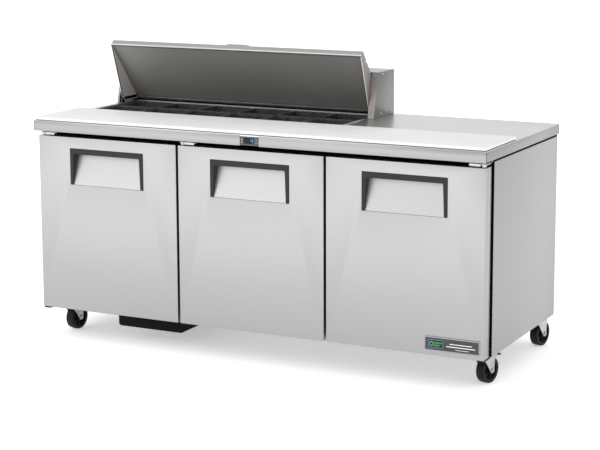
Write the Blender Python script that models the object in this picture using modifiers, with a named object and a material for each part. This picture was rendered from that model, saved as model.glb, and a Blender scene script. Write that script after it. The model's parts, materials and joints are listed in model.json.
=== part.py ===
"""Three-door sandwich prep table on castors, modelled as the separate pieces it comes apart into.

Metres, +Z up. The origin is on the floor under the middle of the worktop, +X runs along the
worktop and +Y points away from the person who works at it. Most places below are given in table
coordinates instead: X from the worktop's left end, Y back from its front edge and Z from the floor.
"""

import math

import bmesh
import bpy
from mathutils import Matrix, Vector

# Driving dimensions
TOP_LENGTH = 1.839
TOP_DEPTH = 0.766
WORK_HEIGHT = 0.848
APRON_HEIGHT = 0.038
TOP_PLATE = 0.010
SHEET = 0.003

# Between neighbours that touch, and how far a cutter runs past the face that it cuts through
GAP = 0.0003
PAST = 0.010

# Cabinet
SIDE_INSET = 0.004
WALL = 0.037
CABINET_FRONT = 0.088
CABINET_BACK = 0.760
SKIRT_BOTTOM = 0.115
DECK = 0.130
FLOOR_PANEL = 0.030
FRAME_DEPTH = 0.040
OPENING_BOTTOM = 0.160
OPENING_TOP = 0.750
STILE = 0.020
SEAT_OVERLAP = 0.036

# Doors: left edge, right edge and the side that is hinged, +1 for left and -1 for right
DOORS = {
    "door_left": (0.008, 0.6145, 1),
    "door_middle": (0.6235, 1.2195, 1),
    "door_right": (1.2285, 1.831, -1),
}
DOOR_FRONT = 0.018
DOOR_BACK = 0.072
DOOR_BOTTOM = 0.117
DOOR_TOP = 0.789
PIN_INSET = 0.014
PIN_Y = 0.034
PIN_RADIUS = 0.005
PIN_HOLE_RADIUS = 0.0054
PIN_REACH = 0.025
PIN_END_GAP = 0.003
GASKET_INSET = 0.012
GASKET_WIDTH = 0.016
GASKET_BACK = 0.087

# Door handles: a wedge let into the door, deep under the grip bar and flush at its lower end
HANDLE_HALF_WIDTH = 0.161
HANDLE_TOP = 0.746
HANDLE_BOTTOM = 0.607
HANDLE_PROUD = 0.002
HANDLE_DEEP = 0.052
HANDLE_TOE = 0.003
HANDLE_BACK_DROP = 0.024
BAR_HEIGHT = 0.021
BAR_DEPTH = 0.010
BAR_ROOF = 0.004
LEG_WIDTH = 0.012

# Badge plate on the right door
BADGE = (1.611, 0.134, 1.817, 0.185)
BADGE_THICKNESS = 0.003

# Pan opening and pans
OPENING = (0.044, 0.352, 1.128, 0.686)
PAN_COLUMNS = 6
PAN_ROWS = 2
PAN_RIM = (0.177, 0.162)
PAN_BODY = (0.160, 0.146)
PAN_FLOOR = (0.146, 0.132)
PAN_DEPTH = 0.102
PAN_WALL = 0.0025
PAN_RIM_THICKNESS = 0.003
PAN_CORNER = 0.012
PAN_INNER_CORNER = 0.010
WELL_TOP = 0.842
WELL_BOTTOM = 0.735
WELL_GAP = 0.0005
WELL_WALL = 0.002
WELL_GRID = 0.006
WELL_BAR = 0.016

# Lid, in (back, up) from its pivot while it is shut
PIVOT_Y = 0.596
PIVOT_Z = 0.859
LID_LEFT = 0.015
LID_RIGHT = 1.133
LID_OPEN_DEG = 71
LID_FRONT = -0.256
LID_RIM = 0.003
LID_LIP = 0.028
LID_BACK_TOP = (0.0476, 0.134)
LID_THICKNESS = 0.020
LID_FRONT_WALL = 0.014
LID_CHEEK = 0.003
LID_EAR_RADIUS = 0.0093
LID_PIN_RADIUS = 0.004
LID_PIN_REACH = 0.005
LID_HOLE_RADIUS = 0.0045

# Hood
HOOD_LEFT = 0.004
HOOD_RIGHT = 1.162
HOOD_TOP = 1.023
HOOD_BACK = 0.765
HOOD_FRONT_TOP = 0.619
HOOD_FRONT_BOTTOM = 0.575
HOOD_SHEET = 0.002
HOOD_FLANGE = (0.009, 0.026)
HOOD_FLANGE_SHEET = 0.003

# Castors: stem place and the angle that each has swivelled to
CASTORS = {
    "front_left": (0.058, 0.130, -6),
    "front_right": (1.781, 0.130, -15),
    "rear_left": (0.052, 0.682, -9),
    "rear_right": (1.787, 0.682, -12),
}
WHEEL_RADIUS = 0.048
WHEEL_HALF_WIDTH = 0.016
TRAIL = 0.035
STEM_RADIUS = 0.006
STEM_HOLE_RADIUS = 0.0064
AXLE_RADIUS = 0.004
AXLE_HOLE_RADIUS = 0.0045
FORK_INNER = 0.0185
FORK_OUTER = 0.0225
CROWN_BOTTOM = 0.1025
CROWN_TOP = 0.1098
CROWN_FRONT = -0.019
CROWN_BACK = 0.050
WELD = 0.002
BOSS_RADIUS = 0.013
TREAD_EDGE = 0.006
SHOULDER_DROP = 0.004
BRAKE_PIN = (0.058, 0.100)
BRAKE_PIN_RADIUS = 0.002
BRAKE_HOLE_RADIUS = 0.0024
BRAKE_BARREL = 0.0045
PEDAL_GAP = 0.001

ROUND_STEPS = 24
TABLE = Vector((-TOP_LENGTH / 2, -TOP_DEPTH / 2, 0))
LOCAL = Vector((0, 0, 0))
CABINET_LEFT = SIDE_INSET
CABINET_RIGHT = TOP_LENGTH - SIDE_INSET
INNER_LEFT = CABINET_LEFT + WALL + GAP
INNER_RIGHT = CABINET_RIGHT - WALL - GAP
UNDER_TOP = WORK_HEIGHT - TOP_PLATE - GAP
INNER_BACK = CABINET_BACK - WALL - GAP


def clear_scene():
    for thing in list(bpy.data.objects):
        bpy.data.objects.remove(thing, do_unlink=True)


def make_collection(name):
    made = bpy.data.collections.new(name)
    bpy.context.scene.collection.children.link(made)
    return made


def make_material(name, colour, roughness, metallic):
    made = bpy.data.materials.new(name)
    made.use_nodes = True
    shader = made.node_tree.nodes["Principled BSDF"]
    shader.inputs["Base Color"].default_value = (*colour, 1)
    shader.inputs["Roughness"].default_value = roughness
    shader.inputs["Metallic"].default_value = metallic
    return made


clear_scene()
PARTS = make_collection("sandwich_prep_table")
CUTTERS = make_collection("cutters")
STAINLESS = make_material("stainless", (0.62, 0.62, 0.61), 0.32, 1.0)
ALUMINIUM = make_material("aluminium", (0.72, 0.72, 0.73), 0.40, 1.0)
ZINC = make_material("zinc", (0.66, 0.66, 0.68), 0.28, 1.0)
BLACK_STEEL = make_material("black_steel", (0.02, 0.02, 0.02), 0.50, 0.0)
BLACK_PLASTIC = make_material("black_plastic", (0.03, 0.03, 0.03), 0.45, 0.0)
BLACK_RUBBER = make_material("black_rubber", (0.02, 0.02, 0.02), 0.75, 0.0)
POLYETHYLENE = make_material("polyethylene", (0.88, 0.89, 0.88), 0.45, 0.0)
POLYCARBONATE = make_material("polycarbonate", (0.80, 0.82, 0.82), 0.10, 0.0)
WHITE_WIRE = make_material("white_wire", (0.85, 0.85, 0.84), 0.40, 0.0)
BADGE_FACE = make_material("badge_face", (0.16, 0.16, 0.17), 0.35, 0.2)


def keep(obj, finish, parent=None):
    """Makes the object a part with this finish, or a cutter when the finish is None."""
    home = CUTTERS if finish is None else PARTS
    home.objects.link(obj)
    obj.parent = parent
    if finish is None:
        obj.hide_render = True
        obj.display_type = "WIRE"
    else:
        obj.data.materials.clear()
        obj.data.materials.append(finish)
    return obj


def box(name, low, high, finish=None, parent=None, frame=TABLE):
    """A block between two corners, with its origin at its middle."""
    low, high = Vector(low), Vector(high)
    shape = bmesh.new()
    bmesh.ops.create_cube(shape, size=1)
    bmesh.ops.scale(shape, vec=high - low, verts=shape.verts)
    mesh = bpy.data.meshes.new(name)
    shape.to_mesh(mesh)
    shape.free()
    obj = bpy.data.objects.new(name, mesh)
    obj.location = frame + (low + high) / 2
    return keep(obj, finish, parent)


def several_boxes(name, corners, parent=None, frame=TABLE):
    """One cutter made of separate blocks."""
    shape = bmesh.new()
    for low, high in corners:
        low, high = Vector(low), Vector(high)
        made = bmesh.ops.create_cube(shape, size=1)["verts"]
        bmesh.ops.scale(shape, vec=high - low, verts=made)
        bmesh.ops.translate(shape, vec=(low + high) / 2, verts=made)
    mesh = bpy.data.meshes.new(name)
    shape.to_mesh(mesh)
    shape.free()
    obj = bpy.data.objects.new(name, mesh)
    obj.location = frame
    return keep(obj, None, parent)


TURN_TO = {
    "X": Matrix(((0, 0, 1), (1, 0, 0), (0, 1, 0))),
    "Y": Matrix(((1, 0, 0), (0, 0, -1), (0, 1, 0))),
    "Z": Matrix.Identity(3),
}


def cylinder(name, centre, radius, length, axis, finish=None, parent=None, frame=TABLE, steps=ROUND_STEPS):
    shape = bmesh.new()
    bmesh.ops.create_cone(
        shape, cap_ends=True, segments=steps, radius1=radius, radius2=radius, depth=length
    )
    bmesh.ops.rotate(shape, cent=(0, 0, 0), matrix=TURN_TO[axis], verts=shape.verts)
    mesh = bpy.data.meshes.new(name)
    shape.to_mesh(mesh)
    shape.free()
    mesh.shade_smooth()
    mesh.set_sharp_from_angle(angle=math.radians(40))
    obj = bpy.data.objects.new(name, mesh)
    obj.location = frame + Vector(centre)
    return keep(obj, finish, parent)


def meshed(name, curve):
    """The closed mesh of a curve's filled and bevelled shape."""
    guide = bpy.data.objects.new(name + "_guide", curve)
    bpy.context.scene.collection.objects.link(guide)
    bpy.context.view_layer.update()
    graph = bpy.context.evaluated_depsgraph_get()
    mesh = bpy.data.meshes.new_from_object(guide.evaluated_get(graph))
    bpy.data.objects.remove(guide, do_unlink=True)
    shape = bmesh.new()
    shape.from_mesh(mesh)
    bmesh.ops.remove_doubles(shape, verts=shape.verts, dist=1e-6)
    shape.to_mesh(mesh)
    shape.free()
    mesh.name = name
    return mesh


def prism(name, outline, axis, low, high, finish=None, parent=None, frame=TABLE):
    """A flat outline, in the two coordinates other than the axis, drawn out between low and high."""
    curve = bpy.data.curves.new(name, "CURVE")
    curve.dimensions = "2D"
    curve.fill_mode = "BOTH"
    curve.extrude = (high - low) / 2
    spline = curve.splines.new("POLY")
    spline.points.add(len(outline) - 1)
    for point, (across, up) in zip(spline.points, outline):
        point.co = (across, up, 0, 1)
    spline.use_cyclic_u = True
    mesh = meshed(name, curve)
    mesh.transform(TURN_TO[axis].to_4x4())
    obj = bpy.data.objects.new(name, mesh)
    middle = {"X": (1, 0, 0), "Y": (0, 1, 0), "Z": (0, 0, 1)}[axis]
    obj.location = frame + Vector(middle) * (low + high) / 2
    return keep(obj, finish, parent)


def rod(name, points, radius, finish, parent=None, frame=TABLE, resolution=2):
    curve = bpy.data.curves.new(name, "CURVE")
    curve.dimensions = "3D"
    curve.bevel_depth = radius
    curve.bevel_resolution = resolution
    curve.use_fill_caps = True
    spline = curve.splines.new("POLY")
    spline.points.add(len(points) - 1)
    for point, place in zip(spline.points, points):
        point.co = (*place, 1)
    mesh = meshed(name, curve)
    mesh.shade_smooth()
    obj = bpy.data.objects.new(name, mesh)
    obj.location = frame
    return keep(obj, finish, parent)


def turned(name, profile, centre, axis, finish, parent=None, frame=TABLE, steps=ROUND_STEPS, ring=False):
    """A turned piece: its profile is (radius, along) from the top of its outer side down."""
    mesh = bpy.data.meshes.new(name)
    edges = [(i, i + 1) for i in range(len(profile) - 1)]
    if ring:
        edges.append((len(profile) - 1, 0))
    mesh.from_pydata([(r, 0, along) for r, along in profile], edges, [])
    obj = bpy.data.objects.new(name, mesh)
    obj.rotation_euler = TURN_TO[axis].to_euler()
    obj.location = frame + Vector(centre)
    keep(obj, finish, parent)
    spin = obj.modifiers.new("Spin", "SCREW")
    spin.steps = steps
    spin.render_steps = steps
    spin.use_merge_vertices = True
    spin.merge_threshold = 0.00001
    spin.use_smooth_shade = True
    return obj


def combine(obj, other, operation):
    change = obj.modifiers.new(operation.capitalize(), "BOOLEAN")
    change.operation = operation
    change.object = other
    return obj


def cut(obj, *cutters):
    for cutter in cutters:
        combine(obj, cutter, "DIFFERENCE")
    return obj


def join(obj, *others):
    for other in others:
        combine(obj, other, "UNION")
    return obj


def soften(obj, width, segments=1):
    bevel = obj.modifiers.new("Soft edges", "BEVEL")
    bevel.width = width
    bevel.segments = segments
    bevel.limit_method = "ANGLE"
    return obj


def arc(centre, radius, start_deg, end_deg, steps):
    """Points of an arc in a plane, both ends included."""
    angles = [math.radians(start_deg + (end_deg - start_deg) * i / steps) for i in range(steps + 1)]
    return [(centre[0] + radius * math.cos(a), centre[1] + radius * math.sin(a)) for a in angles]


def joint_empty(name, place, frame=TABLE, turn=(0, 0, 0)):
    """An empty on a joint's axis, which the moving pieces hang from."""
    empty = bpy.data.objects.new(name, None)
    empty.location = frame + Vector(place)
    empty.rotation_euler = turn
    empty.empty_display_size = 0.03
    PARTS.objects.link(empty)
    return empty


# Cabinet shell


def make_cabinet():
    for side, left in (("left", CABINET_LEFT), ("right", CABINET_RIGHT - WALL)):
        box(
            f"side_panel_{side}",
            (left, CABINET_FRONT, SKIRT_BOTTOM),
            (left + WALL, CABINET_BACK, UNDER_TOP),
            STAINLESS,
        )
    box(
        "floor_panel",
        (INNER_LEFT, CABINET_FRONT + FRAME_DEPTH + GAP, DECK),
        (INNER_RIGHT, INNER_BACK, DECK + FLOOR_PANEL - GAP),
        STAINLESS,
    )
    make_front_frame()
    make_back()
    make_machine_housing()


def door_opening(name):
    """The left and right edge of the cabinet's opening behind a door."""
    left, right, _ = DOORS[name]
    return (
        max(left + SEAT_OVERLAP, INNER_LEFT + STILE),
        min(right - SEAT_OVERLAP, INNER_RIGHT - STILE),
    )


def make_front_frame():
    frame = box(
        "front_frame",
        (INNER_LEFT, CABINET_FRONT, DECK + GAP),
        (INNER_RIGHT, CABINET_FRONT + FRAME_DEPTH, UNDER_TOP),
        STAINLESS,
    )
    openings = []
    for name in DOORS:
        left, right = door_opening(name)
        openings.append(
            (
                (left, CABINET_FRONT - PAST, OPENING_BOTTOM),
                (right, CABINET_FRONT + FRAME_DEPTH + PAST, OPENING_TOP),
            )
        )
    cut(frame, several_boxes("cut_door_openings", openings))


# Machine compartment at the lower left of the back
HOUSING = (0.250, 0.470, 0.1600, 0.730, INNER_BACK, 0.430)
HOUSING_WALL = 0.015
VENT = (0.290, 0.190, 0.690, 0.400)
GRILLE_BORDER = 0.020
GRILLE_BACK = 0.7657
SLOT_MARGIN = 0.010
SLOT_START = 0.006
SLOT_HEIGHT = 0.009
SLOT_PITCH = 0.020
SLOT_COUNT = 10
GLAND_PLACE = (0.780, 0.230)
GLAND_BORE = 0.0045
GLAND_NECK = 0.009
GLAND_RADIUS = 0.013
GLAND_FLANGE = 0.0026
GLAND_LENGTH = 0.0054


def make_back():
    back = box(
        "back_panel",
        (INNER_LEFT, CABINET_BACK - WALL, SKIRT_BOTTOM),
        (INNER_RIGHT, CABINET_BACK, UNDER_TOP),
        STAINLESS,
    )
    left, bottom, right, top = VENT
    vent_front = CABINET_BACK - WALL - PAST
    cut(back, box("cut_vent", (left, vent_front, bottom), (right, CABINET_BACK + PAST, top)))
    grille = box(
        "rear_grille",
        (left - GRILLE_BORDER, CABINET_BACK + GAP, bottom - GRILLE_BORDER),
        (right + GRILLE_BORDER, GRILLE_BACK, top + GRILLE_BORDER),
        STAINLESS,
    )
    slots = []
    for row in range(SLOT_COUNT):
        low = bottom + SLOT_START + row * SLOT_PITCH
        slots.append(
            (
                (left + SLOT_MARGIN, CABINET_BACK - PAST, low),
                (right - SLOT_MARGIN, GRILLE_BACK + PAST, low + SLOT_HEIGHT),
            )
        )
    cut(grille, several_boxes("cut_grille_slots", slots))
    make_gland()


def make_gland():
    """The supply cord's gland, a ring whose narrow end points away from the back panel."""
    x, z = GLAND_PLACE
    profile = [
        (GLAND_RADIUS, 0),
        (GLAND_RADIUS, -GLAND_FLANGE),
        (GLAND_NECK, -GLAND_LENGTH),
        (GLAND_BORE, -GLAND_LENGTH),
        (GLAND_BORE, 0),
    ]
    place = (x, CABINET_BACK + GAP, z)
    turned("cord_gland", profile, place, "Y", BLACK_PLASTIC, steps=16, ring=True)


def make_machine_housing():
    low, high = Vector(HOUSING[:3]), Vector(HOUSING[3:])
    wall = Vector((HOUSING_WALL,) * 3)
    housing = box("machine_housing", low, high, ALUMINIUM)
    inner_high = high - wall
    inner_high.y = high.y + PAST
    cut(housing, box("cut_machine_housing", low + wall, inner_high))
    make_condensing_unit(low.z + HOUSING_WALL + GAP)


# Condenser: left, front, right, back and height
CONDENSER = (0.460, 0.555, 0.700, 0.700, 0.215)
CONDENSER_FAN_RADIUS = 0.082

# Compressor: place, and (radius, height) from its domed top down to its foot
COMPRESSOR_PLACE = (0.355, 0.605)
COMPRESSOR_PROFILE = [
    (0, 0.190),
    (0.030, 0.186),
    (0.055, 0.168),
    (0.072, 0.130),
    (0.072, 0.030),
    (0.058, 0),
    (0, 0),
]

# Fans: a shaft in the block behind, a hub on it and four blades
SHAFT_RADIUS = 0.004
SHAFT_LENGTH = 0.042
SHAFT_SET_IN = 0.030
HUB_RADIUS = 0.018
HUB_LENGTH = 0.020
HUB_SET_IN = 0.020
HUB_BORE = 0.0045
BLADE_HALF_WIDTH = 0.018
BLADE_HALF_THICKNESS = 0.0012
BLADE_PITCH_DEG = 20
BLADES = 4
FAN_CLEARANCE = 0.005
FAN_RECESS = 0.040


def make_condensing_unit(floor):
    x, y = COMPRESSOR_PLACE
    turned("compressor", COMPRESSOR_PROFILE, (x, y, floor), "Z", BLACK_STEEL)
    left, front, right, back, height = CONDENSER
    condenser = box("condenser", (left, front, floor), (right, back, floor + height), ALUMINIUM)
    mouth = ((left + right) / 2, back, floor + height / 2)
    fit_fan("condenser_fan", condenser, mouth, -1, CONDENSER_FAN_RADIUS)


def fit_fan(name, block, mouth, inward, radius):
    """A round recess in a block's front or back face, with a shaft in it that carries a fan."""
    recess = cylinder(f"cut_{name}", mouth, radius + FAN_CLEARANCE, 2 * FAN_RECESS, "Y")
    into = Vector((0, inward, 0))
    shaft_place = Vector(mouth) + into * SHAFT_SET_IN
    cut(block, recess)
    join(block, cylinder(f"{name}_shaft", shaft_place, SHAFT_RADIUS, SHAFT_LENGTH, "Y"))
    make_fan(name, Vector(mouth) + into * HUB_SET_IN, radius)


def make_fan(name, centre, radius):
    """A bored hub with pitched blades, turning on an axis along Y."""
    hub = cylinder(name, centre, HUB_RADIUS, HUB_LENGTH, "Y", BLACK_PLASTIC, steps=16)
    blade_start = (HUB_RADIUS + HUB_BORE) / 2
    for number in range(BLADES):
        blade = box(
            f"{name}_blade_{number}",
            (blade_start, -BLADE_HALF_THICKNESS, -BLADE_HALF_WIDTH),
            (radius, BLADE_HALF_THICKNESS, BLADE_HALF_WIDTH),
            frame=LOCAL,
        )
        blade.data.transform(Matrix.Translation(blade.location))
        blade.data.transform(Matrix.Rotation(math.radians(BLADE_PITCH_DEG), 4, "X"))
        blade.location = TABLE + Vector(centre)
        blade.rotation_euler = (0, number * math.tau / BLADES, 0)
        join(hub, blade)
    cut(hub, cylinder(f"{name}_bore", centre, HUB_BORE, HUB_LENGTH + 2 * PAST, "Y", steps=16))


# Evaporator under the worktop, in the middle of the back
EVAPORATOR = (0.850, 0.614, 0.580, 1.350, INNER_BACK, 0.722)
EVAPORATOR_FAN_RADIUS = 0.058


def make_evaporator():
    low, high = EVAPORATOR[:3], EVAPORATOR[3:]
    coil = box("evaporator", low, high, ALUMINIUM)
    mouth = ((low[0] + high[0]) / 2, low[1], (low[2] + high[2]) / 2)
    fit_fan("evaporator_fan", coil, mouth, 1, EVAPORATOR_FAN_RADIUS)


# Base: a ring of rails under the cabinet, with the doors' lower brackets
RAIL_SIDE = 0.120
RAIL_FRONT = 0.170
RAIL_BACK = 0.620
LUG_THICKNESS = 0.0045
LUG_LAP = 0.0005
LUG_FRONT = 0.022
LUG_TIP = 0.012
LUG_SPREAD = 0.045
LUG_ROOT = 0.012
LUG_ROOT_START = 0.020

# Tray that hangs under the machine compartment
TRAY = (0.303, 0.095, 0.055, 0.590, 0.640, SKIRT_BOTTOM - GAP)
TRAY_CHAMFER = 0.008
TRAY_SIDE = 0.004
TRAY_END = 0.003
TRAY_FLOOR = 0.0035


def hinge_x(name):
    left, right, side = DOORS[name]
    return left + PIN_INSET if side > 0 else right - PIN_INSET


def make_base():
    base = box(
        "base_frame",
        (INNER_LEFT, CABINET_FRONT, SKIRT_BOTTOM),
        (INNER_RIGHT, INNER_BACK, DECK - GAP),
        BLACK_STEEL,
    )
    middle = box(
        "cut_base_middle",
        (RAIL_SIDE, RAIL_FRONT, SKIRT_BOTTOM - PAST),
        (TOP_LENGTH - RAIL_SIDE, RAIL_BACK, DECK + PAST),
    )
    cut(base, middle)
    for name in DOORS:
        join(base, *lower_bracket(name))
    for name, (x, y, _) in CASTORS.items():
        place = (x, y, (SKIRT_BOTTOM + DECK) / 2)
        depth = DECK - SKIRT_BOTTOM + 2 * PAST
        cut(base, cylinder(f"cut_stem_{name}", place, STEM_HOLE_RADIUS, depth, "Z", steps=16))
    make_tray()


def lower_bracket(name):
    """The lug under a door, widening towards the rail that it is welded under, and its pin."""
    x, side = hinge_x(name), DOORS[name][2]
    face = CABINET_FRONT - 0.0005
    root = CABINET_FRONT + LUG_ROOT
    outline = [
        (x - side * LUG_TIP, LUG_FRONT),
        (x + side * LUG_TIP, LUG_FRONT),
        (x + side * LUG_SPREAD, face),
        (x + side * LUG_SPREAD, root),
        (x + side * LUG_ROOT_START, root),
        (x + side * LUG_ROOT_START, face),
        (x - side * LUG_TIP, face),
    ]
    lug_top = SKIRT_BOTTOM + LUG_LAP
    lug = prism(f"{name}_lug", outline, "Z", lug_top - LUG_THICKNESS, lug_top)
    low = lug_top - LUG_THICKNESS / 2
    high = DOOR_BOTTOM + PIN_REACH
    place = (x, PIN_Y, (low + high) / 2)
    return lug, cylinder(f"{name}_lower_pin", place, PIN_RADIUS, high - low, "Z", steps=16)


def make_tray():
    left, front, bottom, right, back, top = TRAY
    outline = [
        (left, top),
        (left, bottom + TRAY_CHAMFER),
        (left + TRAY_CHAMFER, bottom),
        (right - TRAY_CHAMFER, bottom),
        (right, bottom + TRAY_CHAMFER),
        (right, top),
    ]
    tray = prism("condensate_tray", outline, "Y", front, back, BLACK_STEEL)
    inside = box(
        "cut_tray",
        (left + TRAY_SIDE, front + TRAY_END, bottom + TRAY_FLOOR),
        (right - TRAY_SIDE, back - TRAY_END, top + PAST),
    )
    cut(tray, inside)


# Worktop, with the control unit in its front apron and the cutting board on it
CONTROL = (0.895, 0.971)
CONTROL_LOW = 0.8115
CONTROL_HIGH = 0.8415
BEZEL = 0.004
CASE_INSET = 0.005
CASE_LOW = CONTROL_LOW + 0.001
CASE_HIGH = 0.837
CASE_CLEARANCE = 0.0005
CONTROL_DEPTH = 0.055
BOARD_FRONT = 0.002
BOARD_BACK = 0.300
BOARD_THICKNESS = 0.013


def make_worktop():
    apron_bottom = WORK_HEIGHT - APRON_HEIGHT
    top = box("worktop", (0, 0, apron_bottom), (TOP_LENGTH, TOP_DEPTH, WORK_HEIGHT), STAINLESS)
    under = box(
        "cut_under_top",
        (SHEET, SHEET, apron_bottom - PAST),
        (TOP_LENGTH - SHEET, TOP_DEPTH - SHEET, WORK_HEIGHT - TOP_PLATE),
    )
    left, front, right, back = OPENING
    opening = box("cut_pan_opening", (left, front, apron_bottom), (right, back, WORK_HEIGHT + PAST))
    start, end = CONTROL
    case_start, case_end = start + CASE_INSET, end - CASE_INSET
    notch = several_boxes(
        "cut_control_notch",
        [
            ((start, -PAST, CONTROL_LOW - GAP), (end, BEZEL + 2 * GAP, CONTROL_HIGH + GAP)),
            (
                (case_start - CASE_CLEARANCE, BEZEL, CASE_LOW - CASE_CLEARANCE),
                (case_end + CASE_CLEARANCE, BEZEL + PAST, CASE_HIGH + GAP),
            ),
        ],
    )
    cut(top, under, opening, notch)
    bezel = box(
        "control_unit",
        (start + GAP, GAP, CONTROL_LOW),
        (end - GAP, BEZEL, CONTROL_HIGH),
        BLACK_PLASTIC,
    )
    case_low = (case_start, BEZEL - 0.001, CASE_LOW)
    join(bezel, box("control_case", case_low, (case_end, CONTROL_DEPTH, CASE_HIGH)))
    board = box(
        "cutting_board",
        (SIDE_INSET, BOARD_FRONT, WORK_HEIGHT + GAP),
        (TOP_LENGTH - SIDE_INSET, BOARD_BACK, WORK_HEIGHT + GAP + BOARD_THICKNESS),
        POLYETHYLENE,
    )
    soften(board, 0.002)


# Pan well and pans, the same pan in every place


def pan_centres():
    left, front, right, back = OPENING
    pitch_x = (right - left) / PAN_COLUMNS
    pitch_y = (back - front) / PAN_ROWS
    for row in range(PAN_ROWS):
        for column in range(PAN_COLUMNS):
            name = f"pan_{'front' if row == 0 else 'rear'}_{column + 1}"
            yield name, left + pitch_x * (column + 0.5), front + pitch_y * (row + 0.5)


def make_well():
    left, front, right, back = OPENING
    low = Vector((left + WELL_GAP, front + WELL_GAP, WELL_BOTTOM))
    high = Vector((right - WELL_GAP, back - WELL_GAP, WELL_TOP))
    well = box("pan_well", low, high, STAINLESS)
    inset = Vector((WELL_WALL,) * 3)
    inner_high = high - inset
    inner_high.z = WELL_TOP - WELL_GRID
    cut(well, box("cut_well_inside", low + inset, inner_high))
    half_x = ((right - left) / PAN_COLUMNS - WELL_BAR) / 2
    half_y = ((back - front) / PAN_ROWS - WELL_BAR) / 2
    holes = []
    for _, x, y in pan_centres():
        holes.append(
            (
                (x - half_x, y - half_y, WELL_TOP - WELL_GRID - PAST),
                (x + half_x, y + half_y, WELL_TOP + PAST),
            )
        )
    cut(well, several_boxes("cut_well_holes", holes))


def tub(name, top_size, bottom_size, top_z, bottom_z, radius):
    """A closed tapered block with rounded upright edges, as a cutter."""
    shape = bmesh.new()
    bmesh.ops.create_cube(shape, size=1)
    uprights = [e for e in shape.edges if abs(e.verts[0].co.z - e.verts[1].co.z) > 0.5]
    for vert in shape.verts:
        size, z = (top_size, top_z) if vert.co.z > 0 else (bottom_size, bottom_z)
        vert.co = (
            math.copysign(size[0] / 2, vert.co.x),
            math.copysign(size[1] / 2, vert.co.y),
            z,
        )
    bmesh.ops.bevel(shape, geom=uprights, offset=radius, segments=2, profile=0.5, affect="EDGES")
    mesh = bpy.data.meshes.new(name)
    shape.to_mesh(mesh)
    shape.free()
    return keep(bpy.data.objects.new(name, mesh), None)


def make_pans():
    rim_low = WELL_TOP + GAP
    rim_high = rim_low + PAN_RIM_THICKNESS
    floor = rim_high - PAN_DEPTH
    body = tub("pan_body", PAN_BODY, PAN_FLOOR, rim_low + 0.001, floor, PAN_CORNER)
    hollow_top = [size - 2 * PAN_WALL for size in PAN_BODY]
    hollow_floor = [size - 2 * PAN_WALL for size in PAN_FLOOR]
    hollow = tub(
        "cut_pan", hollow_top, hollow_floor, rim_high + PAST, floor + PAN_WALL, PAN_INNER_CORNER
    )
    pattern = tub("pan_pattern", PAN_RIM, PAN_RIM, rim_high, rim_low, PAN_INNER_CORNER)
    join(pattern, body)
    cut(pattern, hollow)
    bpy.context.view_layer.update()
    graph = bpy.context.evaluated_depsgraph_get()
    mesh = bpy.data.meshes.new_from_object(pattern.evaluated_get(graph))
    mesh.name = "pan"
    mesh.materials.clear()
    mesh.materials.append(POLYCARBONATE)
    for helper in (pattern, body, hollow):
        bpy.data.objects.remove(helper, do_unlink=True)
    for name, x, y in pan_centres():
        pan = bpy.data.objects.new(name, mesh)
        pan.location = TABLE + Vector((x, y, 0))
        PARTS.objects.link(pan)


# Lid and hood


def lid_line(back):
    """Height of the lid's outer skin above the pivot, at a distance behind the pivot."""
    end_back, end_up = LID_BACK_TOP
    slope = (end_up - LID_LIP) / (end_back - LID_FRONT)
    return LID_LIP + slope * (back - LID_FRONT), slope


def make_lid():
    pivot = joint_empty("lid_axis", (0, PIVOT_Y, PIVOT_Z), turn=(math.radians(-LID_OPEN_DEG), 0, 0))
    ear_start = 180 - math.degrees(math.asin(LID_RIM / LID_EAR_RADIUS))
    outline = [(LID_FRONT, LID_RIM)]
    outline += arc((0, 0), LID_EAR_RADIUS, ear_start, 345, 8)
    outline += [LID_BACK_TOP, (LID_FRONT, LID_LIP)]
    lid = prism("lid", outline, "X", LID_LEFT, LID_RIGHT, STAINLESS, pivot, LOCAL)
    _, slope = lid_line(0)
    drop = LID_THICKNESS * math.hypot(1, slope)
    inner_front = LID_FRONT + LID_FRONT_WALL
    far_back = LID_BACK_TOP[0] + 4 * PAST
    hollow = [
        (inner_front, -5 * PAST),
        (far_back, -5 * PAST),
        (far_back, lid_line(far_back)[0] - drop),
        (inner_front, lid_line(inner_front)[0] - drop),
    ]
    start, end = LID_LEFT + LID_CHEEK, LID_RIGHT - LID_CHEEK
    inside = prism("cut_lid", hollow, "X", start, end, None, pivot, LOCAL)
    middle = (LID_LEFT + LID_RIGHT) / 2
    hole = cylinder(
        "cut_lid_pins", (middle, 0, 0), LID_HOLE_RADIUS, LID_RIGHT, "X", None, pivot, LOCAL, steps=16
    )
    cut(lid, inside, hole)
    make_lid_handle(pivot, middle, slope)


PULL_HALF = 0.052
PULL_BACK = 0.022
PULL_RISE = 0.024
PULL_RADIUS = 0.0045
PULL_CORNER = 0.012


def make_lid_handle(pivot, middle, slope):
    """A round bar pull standing on the lid's skin, just behind its front edge."""
    run = math.hypot(1, slope)
    along = Vector((0, 1, slope)) / run
    out = Vector((0, -slope, 1)) / run
    foot = Vector((0, LID_FRONT, LID_LIP)) + PULL_BACK * along
    corner = PULL_CORNER
    bend = [(-a, b) for a, b in arc((0, 0), corner, 0, 90, 3)]
    profile = [(-PULL_HALF, GAP)]
    profile += [(-PULL_HALF + corner + a, PULL_RISE - corner + b) for a, b in bend]
    points = []
    for x, rise in profile:
        points.append(foot + out * rise + Vector((middle + x, 0, 0)))
    for x, rise in reversed(profile):
        points.append(foot + out * rise + Vector((middle - x, 0, 0)))
    rod("lid_handle", points, PULL_RADIUS, STAINLESS, pivot, LOCAL)


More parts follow.
